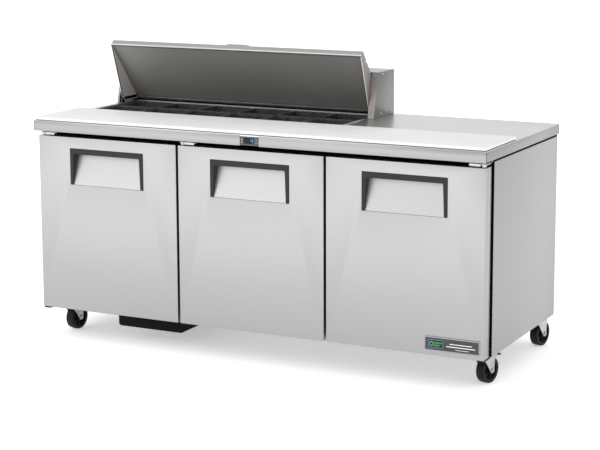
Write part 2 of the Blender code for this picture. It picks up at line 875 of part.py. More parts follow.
def hood_front(height):
    """How far back the hood's slanted front edge is, at a height above the floor."""
    share = (height - WORK_HEIGHT) / (HOOD_TOP - WORK_HEIGHT)
    return HOOD_FRONT_BOTTOM + share * (HOOD_FRONT_TOP - HOOD_FRONT_BOTTOM)


def make_hood():
    bottom = WORK_HEIGHT + GAP
    outline = [
        (hood_front(bottom), bottom),
        (HOOD_BACK, bottom),
        (HOOD_BACK, HOOD_TOP),
        (HOOD_FRONT_TOP, HOOD_TOP),
    ]
    hood = prism("hood", outline, "X", HOOD_LEFT, HOOD_RIGHT, STAINLESS)
    under = bottom - PAST
    roof = HOOD_TOP - HOOD_SHEET
    hollow = [
        (hood_front(under) + HOOD_FLANGE_SHEET, under),
        (HOOD_BACK - HOOD_SHEET, under),
        (HOOD_BACK - HOOD_SHEET, roof),
        (hood_front(roof) + HOOD_FLANGE_SHEET, roof),
    ]
    inside = prism("cut_hood", hollow, "X", HOOD_LEFT + HOOD_SHEET, HOOD_RIGHT - HOOD_SHEET)
    mouth = box(
        "cut_hood_mouth",
        (HOOD_LEFT + HOOD_FLANGE[0], HOOD_FRONT_BOTTOM - PAST, under),
        (HOOD_RIGHT - HOOD_FLANGE[1], HOOD_FRONT_TOP + PAST, roof),
    )
    cut(hood, inside, mouth)
    ends = (
        (HOOD_LEFT + HOOD_SHEET / 2, LID_LEFT + LID_PIN_REACH),
        (LID_RIGHT - LID_PIN_REACH, HOOD_RIGHT - HOOD_SHEET / 2),
    )
    for side, (start, end) in zip(("left", "right"), ends):
        pin = cylinder(
            f"lid_pin_{side}",
            ((start + end) / 2, PIVOT_Y, PIVOT_Z),
            LID_PIN_RADIUS,
            end - start,
            "X",
            steps=16,
        )
        join(hood, pin)


# Doors


def make_door(name):
    left, right, side = DOORS[name]
    x = hinge_x(name)
    axis = joint_empty(f"{name}_axis", (x, PIN_Y, 0))
    axis_world = TABLE + Vector((x, PIN_Y, 0))
    frame = TABLE - axis_world
    suffix = name.removeprefix("door_")
    door = box(
        name, (left, DOOR_FRONT, DOOR_BOTTOM), (right, DOOR_BACK, DOOR_TOP), STAINLESS, axis, frame
    )
    soften(door, 0.0025)
    centre = (left + right) / 2
    pocket = [
        (DOOR_FRONT - PAST, HANDLE_TOP + GAP),
        (DOOR_FRONT - PAST, HANDLE_BOTTOM - GAP),
        (DOOR_FRONT + HANDLE_TOE + GAP, HANDLE_BOTTOM - GAP),
        (HANDLE_DEEP + GAP, HANDLE_TOP - HANDLE_BACK_DROP - GAP),
        (HANDLE_DEEP + GAP, HANDLE_TOP + GAP),
    ]
    half = HANDLE_HALF_WIDTH + GAP
    recess = prism(f"cut_{suffix}_pocket", pocket, "X", centre - half, centre + half, None, axis, frame)
    cut(door, recess)
    for end, z in (("top", DOOR_TOP), ("bottom", DOOR_BOTTOM)):
        hole = cylinder(
            f"cut_{suffix}_{end}_pin",
            (x, PIN_Y, z),
            PIN_HOLE_RADIUS,
            2 * (PIN_REACH + PIN_END_GAP),
            "Z",
            None,
            axis,
            frame,
            steps=16,
        )
        cut(door, hole)
    make_door_handle(f"handle_{suffix}", centre, axis, frame)
    make_gasket(f"gasket_{suffix}", left, right, axis, frame)
    make_top_hinge(f"top_hinge_{suffix}", x, side)
    if name == "door_right":
        start, low, end, high = BADGE
        badge_front = DOOR_FRONT - BADGE_THICKNESS
        box(
            "badge", (start, badge_front, low), (end, DOOR_FRONT - GAP, high), BADGE_FACE, axis, frame
        )


def make_door_handle(name, centre, axis, frame):
    front = DOOR_FRONT - HANDLE_PROUD
    outline = [
        (front, HANDLE_TOP),
        (front, HANDLE_BOTTOM),
        (DOOR_FRONT + HANDLE_TOE, HANDLE_BOTTOM),
        (HANDLE_DEEP, HANDLE_TOP - HANDLE_BACK_DROP),
        (HANDLE_DEEP, HANDLE_TOP),
    ]
    half = HANDLE_HALF_WIDTH
    handle = prism(name, outline, "X", centre - half, centre + half, BLACK_PLASTIC, axis, frame)
    bar_bottom = HANDLE_TOP - BAR_HEIGHT
    bar_back = front + BAR_DEPTH
    roof = HANDLE_TOP - BAR_ROOF
    hollow = [
        (front - PAST, HANDLE_BOTTOM - PAST),
        (HANDLE_DEEP + PAST, HANDLE_BOTTOM - PAST),
        (HANDLE_DEEP + PAST, roof),
        (bar_back, roof),
        (bar_back, bar_bottom),
        (front - PAST, bar_bottom),
    ]
    inner = half - LEG_WIDTH
    cut(handle, prism(f"cut_{name}", hollow, "X", centre - inner, centre + inner, None, axis, frame))


def make_gasket(name, left, right, axis, frame):
    low = Vector((left + GASKET_INSET, DOOR_BACK + GAP, DOOR_BOTTOM + GASKET_INSET))
    high = Vector((right - GASKET_INSET, GASKET_BACK, DOOR_TOP - GASKET_INSET))
    gasket = box(name, low, high, BLACK_RUBBER, axis, frame)
    inset = Vector((GASKET_WIDTH, -PAST, GASKET_WIDTH))
    cut(gasket, box(f"cut_{name}", low + inset, high - inset, None, axis, frame))


HINGE_PLATE_LOW = 0.797
HINGE_PLATE = 0.004
HINGE_FLANGE = 0.003
HINGE_FLANGE_TOP = 0.828
HINGE_LENGTH = 0.058


def make_top_hinge(name, x, side):
    ends = sorted((x - side * LUG_TIP, x + side * HINGE_LENGTH))
    plate_high = HINGE_PLATE_LOW + HINGE_PLATE
    back = CABINET_FRONT - GAP
    hinge = box(name, (ends[0], LUG_FRONT, HINGE_PLATE_LOW), (ends[1], back, plate_high), ZINC)
    flange_low = HINGE_PLATE_LOW + HINGE_PLATE / 4
    flange = box(
        f"{name}_flange",
        (ends[0], back - HINGE_FLANGE, flange_low),
        (ends[1], back, HINGE_FLANGE_TOP),
    )
    pin_low = DOOR_TOP - PIN_REACH
    pin_high = plate_high + PIN_END_GAP
    pin = cylinder(
        f"{name}_pin",
        (x, PIN_Y, (pin_low + pin_high) / 2),
        PIN_RADIUS,
        pin_high - pin_low,
        "Z",
        steps=16,
    )
    join(hinge, flange, pin)


# Shelves

SHELF_FRONT = 0.150
SHELF_BACK = 0.605
SHELF_LOW = 0.450
SHELF_HIGH = 0.456
SHELF_SPANS = {
    "left": (0.050, 0.608),
    "middle": (0.632, 1.206),
    "right": (1.230, 1.790),
}
SHELF_BAR = 0.008
SHELF_SLOTS = 13


def make_shelves():
    for name, (left, right) in SHELF_SPANS.items():
        shelf = box(
            f"shelf_{name}", (left, SHELF_FRONT, SHELF_LOW), (right, SHELF_BACK, SHELF_HIGH), WHITE_WIRE
        )
        pitch = (right - left - SHELF_BAR) / SHELF_SLOTS
        slots = []
        for i in range(SHELF_SLOTS):
            start = left + SHELF_BAR + i * pitch
            slots.append(
                (
                    (start, SHELF_FRONT + SHELF_BAR, SHELF_LOW - PAST),
                    (start + pitch - SHELF_BAR, SHELF_BACK - SHELF_BAR, SHELF_HIGH + PAST),
                )
            )
        cut(shelf, several_boxes(f"cut_shelf_{name}", slots))


# Castors, each built with its stem on its own Z axis and its wheel trailing towards +Y


def leg_outline(braked):
    axle_y, axle_z = TRAIL, WHEEL_RADIUS
    top = CROWN_TOP - WELD
    outline = [(CROWN_FRONT + WELD / 2, top)]
    outline += arc((axle_y, axle_z), BOSS_RADIUS, 180, 360, 6)
    if braked:
        pin_y, pin_z = BRAKE_PIN
        ear = pin_y + 0.005
        outline += [(CROWN_BACK, pin_z - 0.0145), (ear, pin_z - 0.0065), (ear, top)]
    else:
        outline += [(CROWN_BACK, top)]
    return outline


def make_castor(name, x, y, turn_deg):
    braked = name.startswith("front")
    stem = joint_empty(f"castor_{name}_axis", (x, y, 0), turn=(0, 0, math.radians(turn_deg)))
    fork = box(
        f"fork_{name}",
        (-FORK_OUTER, CROWN_FRONT, CROWN_BOTTOM),
        (FORK_OUTER, CROWN_BACK, CROWN_TOP),
        ZINC,
        stem,
        LOCAL,
    )
    for side in (-1, 1):
        low, high = sorted((side * FORK_INNER, side * FORK_OUTER))
        join(fork, prism(f"leg_{name}_{side}", leg_outline(braked), "X", low, high, None, stem, LOCAL))
    post_low, post_high = CROWN_TOP - WELD, DECK - WELD
    post = cylinder(
        f"stem_{name}",
        (0, 0, (post_low + post_high) / 2),
        STEM_RADIUS,
        post_high - post_low,
        "Z",
        None,
        stem,
        LOCAL,
        steps=16,
    )
    width = 2 * FORK_OUTER - WELD
    axle = cylinder(
        f"axle_{name}", (0, TRAIL, WHEEL_RADIUS), AXLE_RADIUS, width, "X", None, stem, LOCAL, steps=16
    )
    join(fork, post, axle)
    half, shoulder = WHEEL_HALF_WIDTH, WHEEL_RADIUS - SHOULDER_DROP
    turned(
        f"wheel_{name}",
        [
            (shoulder, half),
            (WHEEL_RADIUS, half - TREAD_EDGE),
            (WHEEL_RADIUS, TREAD_EDGE - half),
            (shoulder, -half),
            (AXLE_HOLE_RADIUS, -half),
            (AXLE_HOLE_RADIUS, half),
        ],
        (0, TRAIL, WHEEL_RADIUS),
        "X",
        BLACK_RUBBER,
        stem,
        LOCAL,
        ring=True,
    )
    if braked:
        make_brake(name, fork, stem)


def make_brake(name, fork, stem):
    place = (0, *BRAKE_PIN)
    width = 2 * FORK_OUTER - WELD
    pin = cylinder(f"brake_pin_{name}", place, BRAKE_PIN_RADIUS, width, "X", None, stem, LOCAL, 12)
    join(fork, pin)
    y, z = BRAKE_PIN
    outline = arc(BRAKE_PIN, BRAKE_BARREL, 70, 290, 6)
    outline += [(y + 0.032, z - 0.009), (y + 0.038, z - 0.008), (y + 0.034, z - 0.003)]
    half = FORK_INNER - PEDAL_GAP
    pedal = prism(f"brake_pedal_{name}", outline, "X", -half, half, BLACK_PLASTIC, stem, LOCAL)
    cut(pedal, cylinder(f"cut_{name}_pin", place, BRAKE_HOLE_RADIUS, width, "X", None, stem, LOCAL, 12))


def main():
    make_cabinet()
    make_evaporator()
    make_base()
    make_worktop()
    make_well()
    make_pans()
    make_hood()
    make_lid()
    for name in DOORS:
        make_door(name)
    make_shelves()
    for name, (x, y, turn_deg) in CASTORS.items():
        make_castor(name, x, y, turn_deg)


main()
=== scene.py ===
"""Looks of the sandwich prep table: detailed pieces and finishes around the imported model.

Shapes are given in table coordinates, in metres: X from the worktop's left end, Y back from its front
edge and Z up from the floor. piece() moves them to the model's own frame.
"""

import json
import math

import bmesh
import bpy
from mathutils import Matrix, Vector


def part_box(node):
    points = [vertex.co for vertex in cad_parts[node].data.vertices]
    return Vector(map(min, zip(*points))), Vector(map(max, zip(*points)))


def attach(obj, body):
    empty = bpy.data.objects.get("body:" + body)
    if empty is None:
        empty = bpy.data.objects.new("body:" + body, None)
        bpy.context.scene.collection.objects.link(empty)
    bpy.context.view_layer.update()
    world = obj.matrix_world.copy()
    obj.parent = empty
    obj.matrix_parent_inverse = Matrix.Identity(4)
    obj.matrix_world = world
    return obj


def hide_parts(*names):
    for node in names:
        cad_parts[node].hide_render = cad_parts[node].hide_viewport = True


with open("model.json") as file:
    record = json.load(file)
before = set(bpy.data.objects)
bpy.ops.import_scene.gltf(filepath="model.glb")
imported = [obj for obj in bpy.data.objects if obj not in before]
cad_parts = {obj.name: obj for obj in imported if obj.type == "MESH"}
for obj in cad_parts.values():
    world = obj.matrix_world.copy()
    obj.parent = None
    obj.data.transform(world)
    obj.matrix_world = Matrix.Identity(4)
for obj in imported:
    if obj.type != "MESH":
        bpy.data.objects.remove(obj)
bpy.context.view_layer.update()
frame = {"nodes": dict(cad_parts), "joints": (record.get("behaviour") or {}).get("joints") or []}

TABLE = Vector((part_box("worktop")[0].x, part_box("worktop")[0].y, 0))
JOINTS = {joint["name"]: joint for joint in frame["joints"]}
SIDES = ("left", "middle", "right")


def span(node):
    """A CAD node's lowest and highest corner in table coordinates."""
    low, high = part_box(node)
    return low - TABLE, high - TABLE


def pivot(joint):
    return Vector(JOINTS[joint]["pos_m"]) - TABLE


# Shapes

# Faces that meet at less than this angle are shaded as one surface
SMOOTH_DEG = 32

# Turns from a shape's own Z to the direction that it grows in: Y is towards the front, BACK away from it
TURN_TO = {
    "X": Matrix(((0, 0, 1), (1, 0, 0), (0, 1, 0))).to_4x4(),
    "Y": Matrix(((1, 0, 0), (0, 0, -1), (0, 1, 0))).to_4x4(),
    "Z": Matrix.Identity(4),
    "LEFT": Matrix(((0, 0, -1), (-1, 0, 0), (0, 1, 0))).to_4x4(),
    "BACK": Matrix(((-1, 0, 0), (0, 0, 1), (0, 1, 0))).to_4x4(),
}


def arc(centre, radius, start_deg, end_deg, steps=5):
    angles = [math.radians(start_deg + (end_deg - start_deg) * i / steps) for i in range(steps + 1)]
    return [(centre[0] + radius * math.cos(a), centre[1] + radius * math.sin(a)) for a in angles]


def round_box(left, low, right, high, radius, steps=5):
    """The outline of a rectangle with round corners."""
    r = radius
    outline = arc((right - r, low + r), r, -90, 0, steps)
    outline += arc((right - r, high - r), r, 0, 90, steps)
    outline += arc((left + r, high - r), r, 90, 180, steps)
    return outline + arc((left + r, low + r), r, 180, 270, steps)


def rod(radius, start, end, bore=0):
    """The profile of a round rod, or of a ring round a bore, between two places along its axis."""
    return [(bore, start), (radius, start), (radius, end), (bore, end)]


def placed(place, angle, axis, base=None):
    """A turn about an axis and then a move, both inside the base's own frame."""
    return (base or Matrix.Identity(4)) @ Matrix.Translation(place) @ Matrix.Rotation(angle, 4, axis)


def mirrored(left, right, near, far):
    """Two ranges, each from near to far inwards from its own side."""
    return (left + near, left + far), (right - far, right - near)


def evaluated(mesh, modifiers):
    """A mesh with modifiers, given as (type, settings), worked into it."""
    holder = bpy.data.objects.new("holder", mesh)
    bpy.context.scene.collection.objects.link(holder)
    for kind, settings in modifiers:
        change = holder.modifiers.new(kind, kind)
        for key, value in settings.items():
            setattr(change, key, value)
    graph = bpy.context.evaluated_depsgraph_get()
    made = bpy.data.meshes.new_from_object(holder.evaluated_get(graph))
    bpy.data.objects.remove(holder, do_unlink=True)
    return made


class Shape:
    """A mesh put together from simple solids."""

    def __init__(self):
        self.mesh = bpy.data.meshes.new("shape")

    def add(self, made, matrix=None):
        whole = bmesh.new()
        whole.from_mesh(self.mesh)
        if isinstance(made, bmesh.types.BMesh):
            part = bpy.data.meshes.new("part")
            made.to_mesh(part)
            made.free()
        else:
            part = made
        if matrix is not None:
            part.transform(matrix)
        whole.from_mesh(part)
        whole.to_mesh(self.mesh)
        whole.free()
        bpy.data.meshes.remove(part)
        return self

    def slab(self, low, high, radius=0.0, segments=2, matrix=None):
        """A block between two corners, with round edges."""
        low, high = Vector(low), Vector(high)
        made = bmesh.new()
        bmesh.ops.create_cube(made, size=1)
        bmesh.ops.scale(made, vec=high - low, verts=made.verts)
        bmesh.ops.translate(made, vec=(low + high) / 2, verts=made.verts)
        if radius:
            bmesh.ops.bevel(
                made, geom=made.edges[:], offset=radius, segments=segments, profile=0.5, affect="EDGES"
            )
        return self.add(made, matrix)

    def drawn(self, outline, axis, low, high, matrix=None):
        """A flat outline, in the two coordinates other than the axis, drawn out between low and high."""
        made = bmesh.new()
        base = made.faces.new([made.verts.new((a, b, low)) for a, b in outline])
        moved = bmesh.ops.extrude_face_region(made, geom=[base])["geom"]
        top = [v for v in moved if isinstance(v, bmesh.types.BMVert)]
        bmesh.ops.translate(made, vec=(0, 0, high - low), verts=top)
        bmesh.ops.recalc_face_normals(made, faces=made.faces[:])
        return self.add(made, (matrix or Matrix.Identity(4)) @ TURN_TO[axis])

    def turned(self, profile, centre, axis, steps=32, matrix=None):
        """A profile of (radius, along) turned about an axis through the centre."""
        made = bmesh.new()
        verts = [made.verts.new((r, 0, along)) for r, along in profile]
        edges = [made.edges.new(pair) for pair in zip(verts, verts[1:] + verts[:1])]
        bmesh.ops.spin(
            made, geom=verts + edges, cent=(0, 0, 0), axis=(0, 0, 1), angle=math.tau, steps=steps,
            use_duplicate=False,
        )
        bmesh.ops.remove_doubles(made, verts=made.verts[:], dist=1e-6)
        bmesh.ops.dissolve_degenerate(made, edges=made.edges[:], dist=1e-7)
        bmesh.ops.recalc_face_normals(made, faces=made.faces[:])
        place = Matrix.Translation(Vector(centre)) @ TURN_TO[axis]
        return self.add(made, (matrix or Matrix.Identity(4)) @ place)

    def tube(self, points, radius, closed=False, resolution=2):
        """A round wire along a line of points."""
        curve = bpy.data.curves.new("wire", "CURVE")
        curve.dimensions = "3D"
        curve.bevel_depth = radius
        curve.bevel_resolution = resolution
        curve.use_fill_caps = not closed
        spline = curve.splines.new("POLY")
        spline.points.add(len(points) - 1)
        for point, place in zip(spline.points, points):
            point.co = (*place, 1)
        spline.use_cyclic_u = closed
        made = bmesh.new()
        made.from_mesh(evaluated(curve, []))
        bmesh.ops.remove_doubles(made, verts=made.verts[:], dist=1e-6)
        return self.add(made)

    def screw(self, place, axis, radius, height, hexagon=False):
        """A fastener's head on a surface: domed with a cross recess, or hexagonal on a washer."""
        if hexagon:
            self.turned(rod(radius * 1.5, 0, height * 0.2), place, axis)
            six = [(0, 0), (radius, 0), (radius, height * 0.85), (radius * 0.8, height), (0, height)]
            return self.turned(six, place, axis, steps=6)
        dome = [(0, 0), (radius, 0)] + arc((0, 0), 1, 15, 90, 4)
        dome = dome[:2] + [(radius * a, height * b) for a, b in dome[2:]]
        return self.turned(dome, place, axis, steps=20)

    def carve(self, *cutters):
        """Takes the cutters' solids away."""
        for cutter in cutters:
            tool = bpy.data.objects.new("tool", cutter.mesh)
            bpy.context.scene.collection.objects.link(tool)
            self.mesh = evaluated(self.mesh, [("BOOLEAN", {"operation": "DIFFERENCE", "object": tool})])
            bpy.data.objects.remove(tool, do_unlink=True)
        return self

    def moved(self, matrix):
        self.mesh.transform(matrix)
        return self

    def soften(self, width, segments=2, angle_deg=35):
        settings = {
            "width": width,
            "segments": segments,
            "limit_method": "ANGLE",
            "angle_limit": math.radians(angle_deg),
            "harden_normals": False,
        }
        weld = ("WELD", {"merge_threshold": 0.00001})
        self.mesh = evaluated(self.mesh, [weld, ("BEVEL", settings)])
        return self

    def piece(self, name, finish, body="cabinet", slot="stainless", replaces=()):
        """Puts the shape into the scene as a piece that rides on a body."""
        self.mesh.name = name
        self.mesh.transform(Matrix.Translation(TABLE))
        self.mesh.materials.clear()
        self.mesh.materials.append(finish)
        self.mesh.shade_smooth()
        self.mesh.set_sharp_from_angle(angle=math.radians(SMOOTH_DEG))
        obj = bpy.data.objects.new(name, self.mesh)
        bpy.context.scene.collection.objects.link(obj)
        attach(obj, body)
        if replaces:
            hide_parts(*replaces)
        return obj


# Finishes


class Finish:
    """A material's node tree, with short names for what the finishes here use."""

    def __init__(self, name):
        self.material = bpy.data.materials.new(name)
        self.material.use_nodes = True
        self.tree = self.material.node_tree
        self.shader = self.tree.nodes["Principled BSDF"]

    def set(self, **values):
        for key, value in values.items():
            self.shader.inputs[key.replace("_", " ")].default_value = value
        return self

    def node(self, kind, inputs=(), **settings):
        made = self.tree.nodes.new(kind)
        for key, value in settings.items():
            setattr(made, key, value)
        for key, value in dict(inputs).items():
            if isinstance(value, bpy.types.NodeSocket):
                self.tree.links.new(value, made.inputs[key])
            else:
                made.inputs[key].default_value = value
        return made

    def noise(self, scale, detail=3.0, roughness=0.5):
        """Noise in object space, with its own scale along each axis."""
        where = self.node("ShaderNodeTexCoord").outputs["Object"]
        spread = self.node("ShaderNodeMapping", {"Vector": where, "Scale": scale})
        return self.node(
            "ShaderNodeTexNoise",
            {"Vector": spread.outputs["Vector"], "Scale": 1.0, "Detail": detail, "Roughness": roughness},
        ).outputs["Fac"]

    def spread(self, value, low, high, start=0.3, end=0.7):
        """A value between start and end, read as one between low and high."""
        return self.node(
            "ShaderNodeMapRange",
            {"Value": value, "From Min": start, "From Max": end, "To Min": low, "To Max": high},
        ).outputs["Result"]

    def blend(self, share, first, second):
        mix = self.node("ShaderNodeMix", data_type="RGBA")
        mix.inputs["A"].default_value = (*first, 1)
        mix.inputs["B"].default_value = (*second, 1)
        self.tree.links.new(share, mix.inputs["Factor"])
        return mix.outputs["Result"]

    def tint(self, share, colour, dark, light):
        """The colour, a little darker and lighter by turns."""
        return self.colour(self.blend(share, shade(colour, dark), shade(colour, light)))

    def bump(self, height, strength, distance):
        made = self.node("ShaderNodeBump", {"Height": height, "Strength": strength, "Distance": distance})
        self.tree.links.new(made.outputs["Normal"], self.shader.inputs["Normal"])
        return self

    def colour(self, socket):
        self.tree.links.new(socket, self.shader.inputs["Base Color"])
        return self

    def roughness(self, socket):
        self.tree.links.new(socket, self.shader.inputs["Roughness"])
        return self


def shade(colour, factor):
    return tuple(min(1.0, part * factor) for part in colour)


def brushed(name, colour, grain, roughness=0.3, contrast=0.02, bump=0.03):
    """Brushed steel: fine lines along the grain axis and slow clouds of lighter and rougher metal."""
    made = Finish(name).set(Metallic=1.0)
    fine = tuple(14.0 if axis == grain else 1500.0 for axis in "XYZ")
    lines = made.noise(fine, 2.0)
    clouds = made.noise((1.6, 1.6, 1.6), 1.0)
    both = made.node("ShaderNodeMath", {0: lines, 1: clouds}, operation="ADD").outputs[0]
    share = made.spread(both, 0.0, 1.0, 0.75, 1.25)
    made.tint(share, colour, 1 - contrast, 1 + contrast)
    made.roughness(made.spread(both, roughness - 0.03, roughness + 0.04, 0.7, 1.3))
    return made.bump(lines, bump, 0.0002).material


def satin(name, colour, grain, metal, roughness=0.45, gloss=0.5):
    """Fine-ground steel that scatters part of its light."""
    made = Finish(name).set(Metallic=metal, Specular_IOR_Level=gloss)
    fine = tuple(14.0 if axis == grain else 1200.0 for axis in "XYZ")
    lines = made.noise(fine, 2.0)
    clouds = made.noise((2.5, 2.5, 1.2), 1.0)
    made.tint(made.spread(clouds, 0.0, 1.0), colour, 0.93, 1.07)
    made.roughness(made.spread(lines, roughness - 0.04, roughness + 0.05))
    return made.bump(lines, 0.03, 0.0002).material


def plated(name, colour, roughness=0.25):
    """Bright zinc plate, slightly uneven in colour."""
    made = Finish(name).set(Metallic=1.0)
    blotch = made.noise((60, 60, 60), 3.0)
    made.tint(made.spread(blotch, 0, 1), colour, 0.82, 1.1)
    made.roughness(made.spread(blotch, roughness - 0.06, roughness + 0.12))
    return made.bump(made.noise((400, 400, 400)), 0.12, 0.0002).material


def moulded(name, colour, roughness=0.45, grain=900.0, depth=0.15, gloss=0.3):
    """Moulded plastic or rubber with a fine spark-eroded grain."""
    made = Finish(name).set(Metallic=0.0, Specular_IOR_Level=gloss)
    slow = made.noise((18, 18, 18), 2.0)
    made.tint(made.spread(slow, 0, 1), colour, 0.88, 1.12)
    made.roughness(made.spread(slow, roughness - 0.05, roughness + 0.07))
    return made.bump(made.noise((grain, grain, grain), 2.0), depth, 0.0002).material


def coated(name, colour, roughness=0.4):
    """Powder coat: smooth colour over an orange-peel surface."""
    made = Finish(name).set(Metallic=0.0, Specular_IOR_Level=0.25)
    slow = made.noise((30, 30, 30), 2.0)
    made.tint(made.spread(slow, 0, 1), colour, 0.92, 1.06)
    made.roughness(made.spread(slow, roughness - 0.04, roughness + 0.06))
    return made.bump(made.noise((260, 260, 260), 1.0), 0.15, 0.0003).material


def board_finish():
    """White polyethylene: faint knife marks across it and a matt, slightly waxy surface."""
    made = Finish("board_white").set(Subsurface_Weight=0.06, Subsurface_Radius=(0.01, 0.01, 0.01))
    marks = made.noise((420, 9, 60), 4.0, 0.7)
    slow = made.noise((5, 5, 5), 2.0)
    made.colour(made.blend(made.spread(slow, 0, 1), (0.755, 0.765, 0.76), (0.8, 0.81, 0.805)))
    made.roughness(made.spread(marks, 0.42, 0.56))
    return made.bump(marks, 0.1, 0.0002).material


def clear_finish():
    """Smoke-grey polycarbonate that lets a little light through."""
    made = Finish("smoked_polycarbonate").set(IOR=1.45, Transmission_Weight=0.1, Specular_IOR_Level=0.35)
    slow = made.noise((25, 25, 25), 2.0)
    made.colour(made.blend(made.spread(slow, 0, 1), (0.04, 0.042, 0.043), (0.058, 0.06, 0.061)))
    made.roughness(made.spread(slow, 0.24, 0.34))
    return made.material


def lit(name, colour, strength):
    """A lit segment of the display."""
    made = Finish(name).set(Roughness=0.3, Emission_Strength=strength, Emission_Color=(*colour, 1))
    glow = made.noise((900, 900, 900), 1.0)
    made.colour(made.blend(made.spread(glow, 0, 1), shade(colour, 0.7), colour))
    return made.material


STEEL = (0.4, 0.4, 0.398)
STEEL_UPRIGHT = brushed("steel_upright_grain", STEEL, "Z", 0.33)
# A darker copy of the upright steel: painted shade on the side panels
STEEL_SIDE_SHADE = brushed("steel_side_painted_shade", (0.36, 0.36, 0.358), "Z", 0.36)
STEEL_LONG = brushed("steel_long_grain", (0.34, 0.34, 0.338), "X", 0.33)
STEEL_TOP = brushed("steel_worktop", (0.6, 0.595, 0.585), "X", 0.3)
# A dark copy of the steel: painted shade on the inside of the lid
STEEL_LINER_SHADE = satin("steel_lid_liner_painted_shade", (0.225, 0.223, 0.216), "Z", 0.16, 0.52, 0.25)
# A darker, warm-tinted copy of the steel: painted shade on the lid's cheeks and the hood's front flanges
STEEL_CHEEK_SHADE = satin("steel_lid_cheek_painted_shade", (0.3, 0.275, 0.265), "Z", 0.35, 0.5)
# A lighter copy of the cheek steel: painted light on the cheeks' inside faces
STEEL_CHEEK_IN_LIT = satin("steel_cheek_inside_painted_light", (0.66, 0.62, 0.6), "Z", 0.2, 0.5)
# A dark copy of the steel: painted shade on the hood's ends
STEEL_HOOD_SHADE = brushed("steel_hood_painted_shade", (0.19, 0.19, 0.189), "Z", 0.36)
# A darker copy of the steel: painted shade on the apron's ends
STEEL_END_SHADE = brushed("steel_apron_end_painted_shade", (0.3, 0.3, 0.299), "Y", 0.36)
STEEL_SCOOP = brushed("steel_scoop", (0.46, 0.46, 0.46), "X", 0.46, 0.01, 0.02)
# A lighter copy of the long-grain steel: painted light on the lid's front band; the trim round the opening,
# the shelf clips and the blank plate share it
STEEL_BAND_LIT = brushed("steel_lid_band_painted_light", (0.46, 0.45, 0.445), "X", 0.36)
# Very bright steel: painted highlight on the lid's edges, hems, back flange and studs; also the badge's
# bright stripes
STEEL_HIGHLIGHT_AND_STRIPES = brushed("steel_painted_highlight_and_stripes", (0.86, 0.84, 0.81), "X", 0.4)
ALUMINIUM = brushed("aluminium_liner", (0.7, 0.7, 0.71), "Z", 0.4, 0.03)
FINS = brushed("aluminium_fins", (0.62, 0.62, 0.63), "Z", 0.42, 0.06)
COPPER = plated("copper_pipe", (0.62, 0.3, 0.19), 0.3)
ZINC = plated("bright_zinc", (0.5, 0.5, 0.515))
CHROME = plated("bright_rim", (0.52, 0.52, 0.53), 0.2)
CHARCOAL = moulded("charcoal_plastic", (0.016, 0.016, 0.0165), 0.5)
GREY_PLASTIC = moulded("grey_plastic", (0.075, 0.075, 0.078), 0.45)
BLACK = moulded("black_plastic", (0.006, 0.006, 0.006), 0.55)
WINDOW = moulded("display_window", (0.003, 0.003, 0.004), 0.15, 60.0, 0.02)
# Blacker and less glossy than the rubber: the gaskets' own black, and painted shade in the gaps where it is
# also used
GASKET_AND_SHADE_BLACK = moulded("gasket_and_painted_shade_black", (0.0022, 0.0022, 0.0022), 0.85, 300.0, 0.3, 0.06)
RUBBER = moulded("black_rubber", (0.004, 0.004, 0.004), 0.48, 300.0, 0.25, 0.14)
TREAD = moulded("dark_tread", (0.007, 0.007, 0.0075), 0.5, 300.0, 0.3, 0.18)
BLACK_STEEL = coated("black_powder_coat", (0.005, 0.005, 0.005), 0.5)
WHITE_WIRE = coated("white_wire_coat", (0.8, 0.8, 0.79), 0.35)
TRAY_BLACK = moulded("tray_black", (0.004, 0.004, 0.004), 0.6, 300.0, 0.2, 0.1)
BADGE_GREY = coated("badge_grey", (0.06, 0.063, 0.067), 0.38)
BADGE_DARK = coated("badge_dark", (0.022, 0.028, 0.03), 0.35)
BADGE_BLUE = coated("badge_blue", (0.2, 0.42, 0.52), 0.3)
BADGE_GREEN = coated("badge_green", (0.07, 0.36, 0.05), 0.3)
BOARD_WHITE = board_finish()
CLEAR = clear_finish()
DIGIT_BLUE = lit("digit_blue", (0.03, 0.22, 1.0), 1.1)
ICON_WHITE = lit("icon_white", (0.55, 0.58, 0.62), 0.25)


# Worktop


